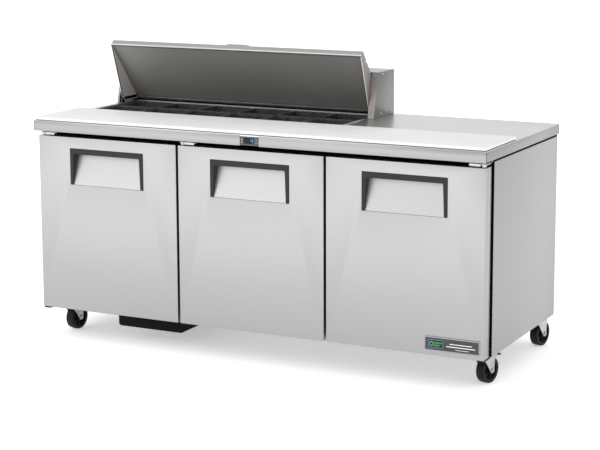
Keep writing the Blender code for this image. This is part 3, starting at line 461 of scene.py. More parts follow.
def make_worktop():
    low, high = span("worktop")
    well_low, well_high = span("pan_well")
    sheet = 0.0018
    hem = 0.012
    side_hem = 0.003
    flange = 0.022
    lap = 0.05
    edge = 0.0005
    top = Shape().slab(low, high, 0.0022, 3)
    under = Shape().slab(
        (low.x + sheet, low.y + sheet, low.z - lap), (high.x - sheet, high.y - sheet, high.z - sheet)
    )
    opening = Shape().drawn(
        round_box(well_low.x - edge, well_low.y - edge, well_high.x + edge, well_high.y + edge, 0.004), "Z",
        low.z, high.z + lap,
    )
    start, end = span("control_unit")
    notch = Shape().slab((start.x - edge, -lap, start.z - edge), (end.x + edge, lap, end.z + edge))
    top.carve(under, opening, notch)
    top.soften(0.0006, 1, 60)
    top.piece("worktop_sheet", STEEL_TOP, replaces=["worktop"])

    # Faces of the apron's front and ends, the ends in darker steel (painted shade), with an open seam at each
    # corner that a black strip fills as painted shade
    seam = 0.002
    proud = 0.0006
    fold = 0.0022
    for name, x0, x1 in (("left", low.x + seam, start.x - edge), ("right", end.x + edge, high.x - seam)):
        face = Shape().slab((x0, low.y - proud, low.z - 0.0022), (x1, low.y + 0.0008, high.z - fold), 0.0004)
        face.piece(f"apron_face_{name}", STEEL_LONG)
    seam_shades = Shape()
    for x in (low.x + 0.0001, high.x - seam):
        seam_shades.slab(
            (x, low.y - 0.0002, low.z - 0.0018), (x + seam - 0.0001, low.y + 0.0004, high.z - fold), 0.0001
        )
    seam_shades.piece("apron_corner_seam_shade", BLACK, slot="black_plastic")
    ends = Shape()
    for x in (low.x - proud, high.x - 0.0008):
        ends.slab(
            (x, low.y + seam, low.z + 0.0008), (x + proud + 0.0008, high.y - seam, high.z - fold), 0.0004
        )
    ends.piece("apron_ends", STEEL_END_SHADE)

    # Hem folded in along the lower edge, and the flange that lines the pan opening
    folded = Shape()
    floor, roof = low.z + 0.0003, low.z + sheet
    folded.slab((low.x + sheet, low.y + sheet, floor), (high.x - sheet, low.y + hem, roof), 0.0005)
    folded.slab((low.x + sheet, high.y - hem, floor), (high.x - sheet, high.y - sheet, roof), 0.0005)
    for x0, x1 in mirrored(low.x, high.x, sheet, side_hem):
        folded.slab((x0, low.y + hem, floor), (x1, high.y - hem, roof), 0.0005)
    folded.piece("apron_hem", STEEL_LONG)
    rise = 0.0034
    wide = 0.01
    trim = Shape().slab(
        (well_low.x - wide, well_low.y - wide, high.z - 0.0004),
        (well_high.x + 0.0045, well_high.y + 0.0012, high.z + rise), 0.0006,
    )
    hole_low = (well_low.x - edge, well_low.y - edge, high.z - lap)
    hole_high = (well_high.x + edge, well_high.y + edge, high.z + lap)
    trim.carve(Shape().slab(hole_low, hole_high))
    trim.piece("opening_trim", STEEL_BAND_LIT)
    lining = Shape().slab(
        (well_low.x - edge - sheet, well_low.y - edge - sheet, high.z - flange),
        (well_high.x + edge + sheet, well_high.y + edge + sheet, high.z - 0.0004), 0.0005,
    )
    lining.carve(Shape().slab(hole_low, hole_high))
    lining.piece("opening_flange", STEEL_LONG)


def make_board():
    low, high = span("cutting_board")
    lift = 0.0014
    board = Shape().slab((low.x, low.y, low.z + lift), high, 0.0034, 4)
    board.piece("board", BOARD_WHITE, "cutting_board", "polyethylene", ["cutting_board"])
    # Black strips under the board's edges: painted shadow along the line where the board meets the worktop
    inset = 0.0026
    dark_strips = Shape()
    for y0, y1 in mirrored(low.y, high.y, inset, 0.02):
        dark_strips.slab((low.x + inset, y0, low.z), (high.x - inset, y1, low.z + lift + 0.0004), 0.0004)
    for x0, x1 in mirrored(low.x, high.x, inset, 0.02):
        dark_strips.slab((x0, low.y + 0.02, low.z), (x1, high.y - 0.02, low.z + lift + 0.0004), 0.0004)
    dark_strips.piece("board_painted_shadow_strips", RUBBER, "cutting_board", "black_rubber")


# Display: a bezel, a window, one digit and small marks beside it


def make_display():
    low, high = span("control_unit")
    y = low.y
    width = high.x - low.x
    bezel = Shape().drawn(round_box(low.x, low.z, high.x, high.z, 0.002), "Y", -y - 0.004, -y + 0.0006)
    border = 0.0045
    window_low, window_high = low.z + border, high.z - border
    window_left, window_right = low.x + 0.2 * width, low.x + 0.75 * width
    recess = Shape().slab((window_left, y - 0.01, window_low), (window_right, y + 0.0016, window_high), 0.001)
    bezel.carve(recess).soften(0.0003)
    bezel.slab((low.x + 0.005, y + 0.004, low.z + 0.001), (high.x - 0.005, high.y, high.z - 0.005), 0.001)
    bezel.piece("control_bezel", GREY_PLASTIC, slot="black_plastic", replaces=["control_unit"])
    gap = 0.0002
    glass = Shape().slab(
        (window_left + gap, y + 0.0008, window_low + gap),
        (window_right - gap, y + 0.0014, window_high - gap), 0.0002,
    )
    glass.piece("control_window", WINDOW, slot="black_plastic")
    # The strokes of a 4: the right side above and below, the left side above, and the middle
    digit_width, digit_height, stroke = 0.0085, 0.015, 0.0022
    start, foot = window_right - digit_width - 0.0045, (low.z + high.z - digit_height) / 2
    half, trim, face = digit_height / 2, stroke * 0.15, y + 0.0004
    strokes = (
        (digit_width - stroke, half, digit_width, digit_height), (digit_width - stroke, 0, digit_width, half),
        (0, half, stroke, digit_height), (0, half - stroke / 2, digit_width, half + stroke / 2),
    )
    figure = Shape()
    for x0, z0, x1, z1 in strokes:
        corner = (start + x1 - trim, face + 0.0006, foot + z1 - trim)
        figure.slab((start + x0 + trim, face, foot + z0 + trim), corner, 0.0001, 1)
    figure.piece("control_digit", DIGIT_BLUE, slot="black_plastic")
    marks = Shape()
    for row in range(2):
        z = window_low + 0.0045 + row * 0.01
        disc = rod(0.0021, 0, 0.0003)
        marks.turned(disc, (low.x + 0.1 * width, y - 0.0006, z), "Y", 16)
        marks.slab(
            (high.x - 0.15 * width, y - 0.0009, z - 0.0006), (high.x - 0.08 * width, y - 0.0005, z + 0.0006),
            0.0001, 1,
        )
    marks.piece("control_marks", ICON_WHITE, slot="black_plastic")


# Pans


def pan_shape(low, high):
    """A food pan with a rolled rim, a stacking step and tapered walls with round corners."""
    wall, lip = 0.0022, 0.0032
    centre = (low + high) / 2
    half_x, half_y = (high.x - low.x) / 2, (high.y - low.y) / 2
    # Inset from the rim, height below the top and corner radius, from the rim down to the bottom
    rings = [
        (0.0, -lip, 0.011), (0.0, 0.0, 0.011), (0.0082, 0.0, 0.01), (0.0098, -0.0016, 0.01),
        (0.0105, -0.022, 0.01), (0.0125, -0.024, 0.01), (0.017, -0.094, 0.009), (0.0215, -0.0995, 0.006),
        (0.05, -0.0998, 0.003),
    ]
    made = bmesh.new()
    loops = []
    for inset, drop, radius in rings:
        outline = round_box(-half_x + inset, -half_y + inset, half_x - inset, half_y - inset, radius, 5)
        loops.append([made.verts.new((x, y, drop)) for x, y in outline])
    for upper, lower in zip(loops, loops[1:]):
        for i in range(len(upper)):
            j = (i + 1) % len(upper)
            made.faces.new((upper[i], upper[j], lower[j], lower[i]))
    made.faces.new(loops[-1])
    bmesh.ops.recalc_face_normals(made, faces=made.faces[:])
    sheet = bpy.data.meshes.new("pan")
    made.to_mesh(sheet)
    made.free()
    solid = evaluated(sheet, [("SOLIDIFY", {"thickness": wall, "offset": -1.0, "use_even_offset": True})])
    shape = Shape()
    shape.add(solid, Matrix.Translation((centre.x, centre.y, high.z)))
    return shape


def make_pans():
    for node in [name for name in frame["nodes"] if name.startswith("pan_") and name != "pan_well"]:
        pan_shape(*span(node)).piece(f"{node}_clear", CLEAR, node, "polycarbonate", [node])


# Lid

LID_OPEN_DEG = 71
LID_FRONT = -0.256
LID_FOLD = 0.0016


def lid_frame():
    """From the shut lid's own (across, back, up), measured from its pivot, to where it rests open."""
    place = pivot("lid_hinge")
    return placed((0, place.y, place.z), math.radians(-LID_OPEN_DEG), "X")


def make_lid():
    low, high = span("lid")
    shut = lid_frame()
    left, right = low.x, high.x
    front, rim, lip = LID_FRONT, 0.003, 0.028
    top = (0.0476, 0.134)
    slope = (top[1] - lip) / (top[0] - front)
    run = math.hypot(1, slope)
    drop = 0.02 * run
    ear = 0.0093
    toe = front + 0.009
    outline = [(toe, rim)] + arc((0, 0), ear, 161, 345, 10) + [top, (front, lip)]
    wall, cheek = 0.014, 0.003
    inner = front + wall
    far = 0.095

    def ceiling(back):
        return lip + slope * (back - front) - drop

    hollow = [(inner, -0.05), (far, -0.05), (far, ceiling(far)), (inner, ceiling(inner))]
    skin = Shape().drawn(outline, "X", left, right)
    skin.carve(Shape().drawn(hollow, "X", left + cheek, right - cheek))
    skin.soften(LID_FOLD, 3, 30)
    # The skin is in the darker warm-tinted steel: painted shade on the cheeks
    skin.moved(shut).piece("lid_skin", STEEL_CHEEK_SHADE, "lid", replaces=["lid"])

    # Liner on the hollow's roof and front wall, in dark steel: painted shade inside the lid
    sheet = 0.0012
    gap = 0.0002
    hem_back = 0.044
    roof = [
        (inner + gap, rim + 0.001), (inner + gap, ceiling(inner) - gap), (hem_back, ceiling(hem_back) - gap),
        (hem_back, ceiling(hem_back) - gap - sheet),
        (inner + gap + sheet, ceiling(inner) - gap - 1.6 * sheet), (inner + gap + sheet, rim + 0.001),
    ]
    liner = Shape().drawn(roof, "X", left + cheek + gap, right - cheek - gap)
    liner.moved(shut).piece("lid_liner", STEEL_LINER_SHADE, "lid")

    # The leaning front wall: a band with two folds in lighter steel (painted light), a rolled edge under it
    # in very bright steel (painted highlight) and the seal behind
    lean = math.atan((toe - front) / (lip - rim))
    wall_turn = placed((0, toe, rim), lean, "X", shut)
    height = math.hypot(toe - front, lip - rim)
    band = Shape()
    for z0, z1 in ((0.0062, 0.0138), (0.0144, 0.0196), (0.0202, height - 0.0004)):
        band.slab((left + 0.0005, -0.0008, z0), (right - 0.0005, 0.0004, z1), 0.0003)
    band.moved(wall_turn).piece("lid_band", STEEL_BAND_LIT, "lid")
    edge = Shape().slab((left + 0.0003, -0.0012, 0.0004), (right - 0.0003, 0.0014, 0.0054), 0.0006)
    edge.moved(wall_turn).piece("lid_lip_edge", STEEL_HIGHLIGHT_AND_STRIPES, "lid")
    under = Shape().slab(
        (left + 0.001, toe + 0.0016, rim - 0.0004), (right - 0.001, inner - 0.0002, rim + 0.0006), 0.0003
    )
    under.moved(shut).piece("lid_lip_seal", CHARCOAL, "lid", "black_plastic")

    # Outer skin's plate, which the handle stands on
    angle = math.atan(slope)
    length = (top[0] - front) * run
    plate = Shape().slab((left + 0.002, 0.003, -0.0002), (right - 0.002, length - 0.008, 0.0009), 0.0004)
    plate.moved(placed((0, front, lip), angle, "X", shut)).piece("lid_outer_plate", STEEL_LONG, "lid")

    # Flange along the liner's back edge, and a rolled hem on the mouth edge of each cheek, in very bright
    # steel: a painted highlight
    hem = Shape().slab((left + cheek + 0.002, 0.024, 0.0925), (right - cheek - 0.002, 0.032, 0.095), 0.0008)
    hem.slab((left + cheek + 0.002, 0.024, 0.0905), (right - cheek - 0.002, 0.0262, 0.095), 0.0008)
    hem.moved(shut).piece("lid_back_flange", STEEL_HIGHLIGHT_AND_STRIPES, "lid")
    edges = Shape()
    for x in (left + cheek / 2, right - cheek / 2):
        edges.tube([(x, inner + 0.001, rim + 0.0006), (x, -0.0105, rim + 0.0006)], 0.0022)
    edges.moved(shut).piece("lid_cheek_hems", STEEL_HIGHLIGHT_AND_STRIPES, "lid")

    # Inside each cheek black strips of painted shade, a thin lining in lighter steel that paints light on it
    # and a strap round the hinge pin, and studs on its outside in very bright steel (painted highlight)
    dark_strips = Shape()
    along = math.atan2(top[1] + 0.004, top[0])
    rear = Matrix.Rotation(along, 4, "X")
    for x0, x1 in mirrored(left + cheek, right - cheek, 0.0006, 0.003):
        dark_strips.slab((x0, 0.012, 0.0012), (x1, math.hypot(*top) - 0.026, 0.0125), 0.0008, 2, rear)
    for x0, x1 in mirrored(left + cheek, right - cheek, 0.0002, 0.0019):
        dark_strips.slab((x0, inner + 0.004, rim + 0.0004), (x1, -0.012, rim + 0.003), 0.0003)
    dark_strips.moved(shut).piece("lid_cheek_painted_shade_strips", GASKET_AND_SHADE_BLACK, "lid", "black_rubber")
    inside = [
        (inner + 0.003, rim + 0.002), (0.004, rim + 0.002), (hem_back - 0.003, ceiling(hem_back) - 0.004)
    ]
    inside += [(inner + 0.003, ceiling(inner) - 0.003)]
    linings = Shape()
    for x0, x1 in mirrored(left + cheek, right - cheek, 0.0001, 0.0005):
        linings.drawn(inside, "X", x0, x1)
    linings.moved(shut).piece("lid_cheek_lit_linings", STEEL_CHEEK_IN_LIT, "lid")
    straps = Shape()
    for x0, x1 in mirrored(left + cheek, right - cheek, 0.0006, 0.003):
        strap = arc((0, 0), 0.0085, 60, 300, 10) + [(0.034, -0.004), (0.034, 0.006)]
        straps.drawn(strap, "X", x0, x1)
    straps.soften(0.0006)
    straps.moved(shut).piece("lid_hinge_straps", BLACK_STEEL, "lid")
    studs = Shape()
    stud_places = ((-0.209, 0.038), (-0.03, 0.05))
    for side, x in ((-1, left), (1, right)):
        for back, up in stud_places:
            dome = [(0.005 * a, 0.0008 + 0.003 * b) for a, b in arc((0, 0), 1, 0, 90, 4)]
            turn = placed((x, back, up), side * math.pi / 2, "Y")
            studs.turned([(0, 0), (0.006, 0), (0.006, 0.0008)] + dome, (0, 0, 0), "Z", 20, turn)
    studs.moved(shut).piece("lid_studs", STEEL_HIGHLIGHT_AND_STRIPES, "lid")
    make_lid_handle(placed((0, front, lip), angle, "X", shut))


def make_lid_handle(plane):
    """The CAD pull keeps its place; turned feet and their screws are added under its ends."""
    finish_node("lid_handle", CHROME)
    low, high = span("lid")
    middle = (low.x + high.x) / 2
    feet = Shape()
    for hand in (-1, 1):
        x = middle + hand * 0.052
        foot = [(0.0047, 0.0009), (0.011, 0.0009), (0.011, 0.0024), (0.0078, 0.0042), (0.0047, 0.005)]
        feet.turned(foot, (x, 0.022, 0), "Z", 28)
        for back in (0.0135, 0.0305):
            feet.screw((x, back, 0.0009), "Z", 0.0022, 0.0012)
    feet.moved(plane).piece("lid_handle_feet", CHROME, "lid")


# Hood


def make_hood():
    low, high = span("hood")
    lid_low, lid_high = span("lid")
    sheet = 0.0016
    front_bottom, front_top = 0.575, 0.619
    slope = (front_top - front_bottom) / (high.z - low.z)
    crown = high.z - 0.0006
    outline = [(front_bottom, low.z), (high.y, low.z), (high.y, crown), (front_top, crown)]
    hood = Shape().drawn(outline, "X", low.x, high.x)
    lap = 0.02
    flange = 0.0025
    hollow = [
        (front_bottom - slope * lap + flange, low.z - lap), (high.y - sheet, low.z - lap),
        (high.y - sheet, crown - sheet), (front_top + flange, crown - sheet),
    ]
    side_gap = 0.0014
    mouth = Shape().slab(
        (lid_low.x - side_gap, front_bottom - lap, low.z - lap),
        (lid_high.x + side_gap, front_top + lap, crown - sheet),
    )
    hood.carve(Shape().drawn(hollow, "X", low.x + sheet, high.x - sheet), mouth)
    hood.soften(0.0004, 2, 40)
    # The shell shows at the hood's ends, in dark steel: painted shade
    hood.piece("hood_shell", STEEL_HOOD_SHADE, replaces=["hood"])

    # Skins that are laid over the shell, the front flanges in darker warm-tinted steel (painted shade) and
    # the top, and a black sheet under it that paints the shade behind the pans
    faces = Shape()
    for x0, x1 in (
        (low.x + 0.0008, lid_low.x - side_gap - 0.0004), (lid_high.x + side_gap + 0.0004, high.x - 0.0008)
    ):
        lean = math.atan(slope)
        turn = placed((0, front_bottom, low.z), -lean, "X")
        faces.slab(
            (x0, -0.0004, 0.001), (x1, 0.0006, math.hypot(high.z - low.z, front_top - front_bottom) - 0.003),
            0.0002, 1, turn,
        )
    faces.piece("hood_front_flanges", STEEL_CHEEK_SHADE)
    roof = Shape().slab(
        (low.x + 0.001, front_top + 0.001, crown - 0.0004), (high.x - 0.001, high.y - 0.001, high.z), 0.0002,
        1,
    )
    roof.piece("hood_top_sheet", STEEL_UPRIGHT)
    _, opening_high = span("pan_well")
    floor = Shape().slab(
        (low.x + 0.004, opening_high.y + 0.0016, low.z), (lid_high.x + 0.001, high.y - 0.003, low.z + 0.0036),
        0.0006,
    )
    floor.piece("hood_floor_shade_sheet", GASKET_AND_SHADE_BLACK, slot="black_rubber")
    pins = Shape()
    place = pivot("lid_hinge")
    for x0, x1 in ((low.x + 0.001, lid_low.x + 0.005), (lid_high.x - 0.005, high.x - 0.001)):
        pins.turned(rod(0.004, 0, x1 - x0), (x0, place.y, place.z), "X", 20)
    pins.piece("lid_pins", ZINC, slot="zinc")
    screws = Shape()
    for z, y in ((high.z - 0.008, 0.654), (low.z + 0.014, 0.64), (low.z + 0.014, 0.735)):
        screws.screw((high.x, y, z), "X", 0.0042, 0.0024)
        screws.screw((low.x, y, z), "LEFT", 0.0042, 0.0024)
    screws.piece("hood_end_screws", CHROME, slot="zinc")
    rivets = Shape()
    flange_x = (lid_high.x + high.x) / 2
    for x in (flange_x, low.x + 0.0045):
        for share in (0.14, 0.86):
            z = low.z + share * (high.z - low.z)
            y = front_bottom + share * (front_top - front_bottom)
            rivets.turned([(0, 0), (0.002, 0), (0.0014, 0.001), (0, 0.0012)], (x, y - 0.0004, z), "Y", 14)
    rivets.piece("hood_flange_rivets", CHARCOAL, slot="zinc")


# Doors


def handle_outlines(centre, low, high, half, leg, bar):
    """The handle as seen from the front: its outer outline and the opening inside it."""
    corner = 0.006
    outer = round_box(centre - half, low, centre + half, high, corner)
    inner, foot, top = half - leg, 0.0045, high - bar
    lap = 0.02
    right = [(centre + inner + foot, low)] + arc((centre + inner + foot, low + foot), foot, 270, 180, 4)
    right += arc((centre + inner - 0.0035 - 0.005, top - 0.005), 0.005, 0, 90, 5)
    left = [(2 * centre - x, z) for x, z in reversed(right)]
    return outer, [(centre + inner + foot, low - lap)] + right + left + [(centre - inner - foot, low - lap)]


def make_handle(side, scoop_front):
    low, high = span(f"handle_{side}")
    centre, half = (low.x + high.x) / 2, (high.x - low.x) / 2
    bar, leg, depth, drop = 0.021, 0.012, 0.01, 0.024
    outer, opening = handle_outlines(centre, low.z, high.z, half, leg, bar)
    wedge = [
        (low.y, high.z + 0.001), (low.y, low.z - 0.001), (scoop_front, low.z - 0.001), (scoop_front, low.z),
        (high.y, high.z - drop), (high.y, high.z + 0.001),
    ]
    body = Shape().drawn(wedge, "X", low.x, high.x)
    big = 0.05
    around = Shape().slab((low.x - big, low.y - big, low.z - big), (high.x + big, high.y + big, high.z + big))
    around.carve(Shape().drawn(outer, "Y", -high.y - 2 * big, -low.y + 2 * big))
    through = Shape().drawn(opening, "Y", -high.y - big, -low.y + big)
    inner = half - leg - 0.0035
    behind = Shape().slab(
        (centre - inner, low.y + depth, high.z - bar - 0.01), (centre + inner, high.y + big, high.z - 0.004)
    )
    body.carve(around, through, behind)
    body.soften(0.0012, 3, 30)
    body.piece(f"handle_{side}_bezel", CHARCOAL, f"door_{side}", "black_plastic", [f"handle_{side}"])


def make_door(side):
    node = f"door_{side}"
    low, high = span(node)
    grip_low, grip_high = span(f"handle_{side}")
    drop = 0.024
    toe = low.y + 0.003
    seam_y = low.y + 0.015
    gap = 0.0004
    pocket = [
        (low.y - 0.02, grip_high.z + gap), (low.y - 0.02, grip_low.z - gap), (toe, grip_low.z - gap),
        (grip_high.y + gap, grip_high.z - drop - gap), (grip_high.y + gap, grip_high.z + gap),
    ]
    cutter = Shape().drawn(pocket, "X", grip_low.x - gap, grip_high.x + gap)
    front = Shape().slab(low, (high.x, seam_y, high.z), 0.0032, 4)
    front.carve(cutter)
    front.soften(0.0008, 2, 50)
    front.piece(f"{node}_skin", STEEL_UPRIGHT, node, replaces=[node])
    inset = 0.0012
    rear = Shape().slab(
        (low.x + inset, seam_y + 0.0008, low.z + inset), (high.x - inset, high.y, high.z - inset), 0.0012, 2
    )
    rear.carve(cutter)
    rear.piece(f"{node}_frame", STEEL_UPRIGHT, node)
    middle = Shape().slab(
        (low.x + 0.004, seam_y - 0.004, low.z + 0.004), (high.x - 0.004, seam_y + 0.004, high.z - 0.004)
    )
    middle.carve(cutter)
    middle.piece(f"{node}_seam", BLACK, node, "black_plastic")

    # Stainless scoop behind the grip
    sheet = 0.001
    slide = [
        (toe + 0.0002, grip_low.z), (grip_high.y, grip_high.z - drop), (grip_high.y, grip_high.z - 0.005),
        (grip_high.y - sheet, grip_high.z - 0.005), (grip_high.y - sheet, grip_high.z - drop + 0.0004),
        (toe - sheet, grip_low.z + 0.0004),
    ]
    leg = 0.0125
    scoop = Shape().drawn(slide, "X", grip_low.x + leg, grip_high.x - leg)
    scoop.piece(f"{node}_scoop", STEEL_SCOOP, node)
    make_handle(side, toe)

    # Inner liner, raised in steps inside the gasket
    liner = Shape()
    step = 0.032
    liner.slab(
        (low.x + 0.006, high.y - 0.002, low.z + 0.006), (high.x - 0.006, high.y + 0.0002, high.z - 0.006),
        0.0008,
    )
    liner.slab(
        (low.x + step, high.y - 0.002, low.z + step), (high.x - step, high.y + 0.009, high.z - step), 0.006, 4
    )
    liner.piece(f"{node}_liner", ALUMINIUM, node)
    make_gasket(side)


def ring(low, high, width):
    """An upright rectangular ring, as deep as its corners say."""
    shape = Shape().slab(low, high, 0.0012, 2)
    lap = 0.02
    return shape.carve(
        Shape().slab(
            (low[0] + width, low[1] - lap, low[2] + width), (high[0] - width, high[1] + lap, high[2] - width)
        )
    )


def make_gasket(side):
    low, high = span(f"gasket_{side}")
    depth = high.y - low.y
    base = ring((low.x, low.y, low.z), (high.x, low.y + depth * 0.3, high.z), 0.016)
    inset = 0.0022
    bellows = ring(
        (low.x + inset, low.y + depth * 0.28, low.z + inset),
        (high.x - inset, low.y + depth * 0.62, high.z - inset), 0.0085,
    )
    face = ring(
        (low.x + 0.0005, low.y + depth * 0.6, low.z + 0.0005), (high.x - 0.0005, high.y, high.z - 0.0005),
        0.0145,
    )
    base.add(bellows.mesh).add(face.mesh)
    base.piece(f"gasket_{side}_bellows", GASKET_AND_SHADE_BLACK, f"door_{side}", "black_rubber", [f"gasket_{side}"])


def make_top_hinge(side):
    low, high = span(f"top_hinge_{side}")
    pin = pivot(f"door_{side}_hinge")
    hand = 1 if side != "right" else -1
    plate_low, plate_high = 0.797, 0.801
    pin_foot, bush_foot = 0.7645, 0.7903
    nose = 0.012
    outline = [(pin.x - hand * nose, high.y), (pin.x - hand * nose, low.y + nose)]
    tip = arc((pin.x, pin.y), nose, 180, 360, 8)
    outline += tip if hand > 0 else [(2 * pin.x - x, y) for x, y in tip]
    outline += [
        (pin.x + hand * 0.016, low.y + 0.002), (pin.x + hand * 0.052, low.y + 0.004),
        (pin.x + hand * 0.058, low.y + 0.012), (pin.x + hand * 0.058, high.y),
    ]
    plate = Shape().drawn(outline, "Z", plate_low, plate_high)
    flange_low = plate_low + 0.001
    plate.slab((low.x, high.y - 0.003, flange_low), (high.x, high.y, high.z), 0.0008)
    lip_ends = sorted((pin.x + hand * 0.01, pin.x + hand * 0.052))
    plate.slab(
        (lip_ends[0], low.y + 0.0035, plate_low - 0.0055), (lip_ends[1], low.y + 0.0062, plate_high - 0.0005),
        0.0006,
    )
    plate.turned(
        [(0, 0), (0.005, 0), (0.005, 0.034), (0.0036, 0.0355), (0, 0.0355)], (pin.x, pin.y, pin_foot), "Z", 24
    )
    plate.soften(0.0005)
    for x in (0.012, 0.044):
        plate.screw((pin.x + hand * x, high.y - 0.003, plate_high + 0.012), "Y", 0.0045, 0.003, hexagon=True)
    plate.screw((pin.x + hand * 0.024, low.y + 0.016, plate_high), "Z", 0.004, 0.0022, hexagon=True)
    plate.turned(
        [(0, 0), (0.0062, 0), (0.0062, 0.0016), (0.005, 0.0022), (0, 0.0022)], (pin.x, pin.y, plate_high),
        "Z", 24,
    )
    plate.turned(rod(0.0085, 0, 0.0058, 0.0056), (pin.x, pin.y, bush_foot), "Z", 24)
    plate.piece(f"top_hinge_{side}_bracket", ZINC, slot="zinc", replaces=[f"top_hinge_{side}"])


def make_badge():
    low, high = span("badge")
    length, height = high.x - low.x, high.z - low.z
    rim = Shape().drawn(round_box(low.x, low.z, high.x, high.z, 0.004), "Y", -high.y, -low.y)
    border = 0.0042
    field_box = (low.x + border, low.z + border, high.x - border, high.z - border)
    rim.carve(Shape().drawn(round_box(*field_box, 0.002), "Y", -low.y - 0.0014, 0.1))
    rim.soften(0.0006, 2, 40)
    rim.piece("badge_rim", STEEL_LONG, "door_right", "badge_face", ["badge"])
    y = low.y + 0.0014
    field = Shape().drawn(round_box(*field_box, 0.002), "Y", -y - 0.0002, -y + 0.0003)
    field.piece("badge_field", BADGE_GREY, "door_right", "badge_face")
    label_box = (low.x + 0.07 * length, low.z + 0.22 * height, low.x + 0.34 * length, high.z - 0.22 * height)
    left, bottom, right, top = label_box
    label = Shape().drawn(round_box(*label_box, 0.0015), "Y", -y, -y + 0.0005)
    label.piece("badge_label", BADGE_DARK, "door_right", "badge_face")
    line = 0.0007
    outline = Shape()
    edge = [
        (x, y - 0.0006, z)
        for x, z in round_box(left + line, bottom + line, right - line, top - line, 0.0014, 3)
    ]
    outline.tube(edge, line, closed=True, resolution=1)
    middle_z = (bottom + top) / 2
    ring_x = left + 0.0125
    circle = [(a, y - 0.0008, b) for a, b in arc((ring_x, middle_z), 0.0068, 0, 345, 23)]
    outline.tube(circle, 0.0014, closed=True, resolution=2)
    outline.piece("badge_label_lines", BADGE_BLUE, "door_right", "badge_face")
    bars = Shape()
    for row, share in enumerate((0.72, 1.0)):
        z = middle_z - 0.0075 + row * 0.0085
        start = ring_x + 0.0105
        bars.slab(
            (start, y - 0.0009, z), (start + (right - 0.005 - start) * share, y - 0.0004, z + 0.0048), 0.0004
        )
    bars.piece("badge_label_bars", BADGE_GREEN, "door_right", "badge_face")
    stripes = Shape()
    for row, (start, end) in enumerate(((0.46, 0.86), (0.4, 0.92), (0.56, 0.8))):
        z = (low.z + high.z) / 2 + (0.5 - row) * 0.0095
        thick = 0.0018 if row < 2 else 0.001
        stripes.tube([(low.x + start * length, y - 0.0004, z), (low.x + end * length, y - 0.0004, z)], thick)
    stripes.piece("badge_stripes", STEEL_HIGHLIGHT_AND_STRIPES, "door_right", "badge_face")


# Cabinet


def make_cabinet():
    for side, hand in (("left", 1), ("right", -1)):
        node = f"side_panel_{side}"
        low, high = span(node)
        outer = low.x if hand > 0 else high.x
        inner = high.x if hand > 0 else low.x
        gap = high.z - span("worktop")[0].z + 0.008
        # The panel's skin is in the darker side steel: painted shade
        shell = Shape().slab(low, (high.x, high.y, high.z - gap), 0.0022, 3)
        shell.piece(f"{node}_skin", STEEL_SIDE_SHADE, replaces=[node])
        # A black band along the panel's top, under the apron: painted shade for the gap there
        shade_band = Shape().slab(
            (low.x + 0.0015, low.y + 0.0015, high.z - gap - 0.0005),
            (high.x - 0.0015, high.y - 0.0015, high.z), 0.0004,
        )
        shade_band.piece(f"{node}_packing", GASKET_AND_SHADE_BLACK, slot="black_rubber")
        # A black strip on the panel's front edge: painted shade for the gap beside the doors
        front_shade_strip = Shape().slab(
            (low.x + 0.0012, low.y - 0.0004, low.z + 0.001),
            (high.x - 0.0012, low.y + 0.0008, high.z - 0.001), 0.0003, 1,
        )
        front_shade_strip.piece(f"{node}_front_shade_strip", GASKET_AND_SHADE_BLACK, slot="black_rubber")
        x0, x1 = sorted((inner, inner + hand * 0.0002))
        foot, top = 0.161, 0.8
        lining = Shape().slab((x0 - 0.0004, low.y + 0.045, foot), (x1 + 0.0004, high.y - 0.04, top), 0.0003)
        lining.piece(f"{node}_lining", ALUMINIUM, slot="aluminium")
        make_side_bottom(side, outer, hand)
    make_front_frame()
    finish_node("back_panel", STEEL_UPRIGHT, 0.0015)
    finish_node("floor_panel", STEEL_LONG, 0.0012)
    finish_node("pan_well", STEEL_LONG, 0.0006)
    make_shelf_posts()
    make_back()


def finish_node(node, finish, width=0.0):
    """Finishes a CAD piece that stays, and rounds its edges with a bevel that leaves its mesh as it is."""
    obj = frame["nodes"][node]
    obj.data.materials.clear()
    obj.data.materials.append(finish)
    if width:
        change = obj.modifiers.new("round", "BEVEL")
        change.width = width
        change.segments = 2
        change.limit_method = "ANGLE"
        change.angle_limit = math.radians(40)


def make_shelves():
    wire, rail = 0.0019, 0.0028
    for side in SIDES:
        node = f"shelf_{side}"
        low, high = span(node)
        shape = Shape()
        z = high.z - wire
        count = 22
        for i in range(count):
            x = low.x + rail + (high.x - low.x - 2 * rail) * i / (count - 1)
            shape.tube([(x, low.y + rail, z), (x, high.y - rail, z)], wire)
        for y in (low.y + rail, (low.y + high.y) / 2, high.y - rail):
            shape.tube([(low.x, y, low.z + rail), (high.x, y, low.z + rail)], rail)
        shape.piece(f"{node}_wires", WHITE_WIRE, node, "white_wire", [node])


# Castors


def castor_frame(name):
    """From a castor's own frame, its stem on Z and its wheel behind it, to table coordinates."""
    stem = pivot(f"castor_{name}_swivel")
    axle = pivot(f"wheel_{name}_spin")
    turn = math.atan2(-(axle.x - stem.x), axle.y - stem.y)
    trail = math.hypot(axle.x - stem.x, axle.y - stem.y)
    return placed((stem.x, stem.y, 0), turn, "Z"), trail, axle.z


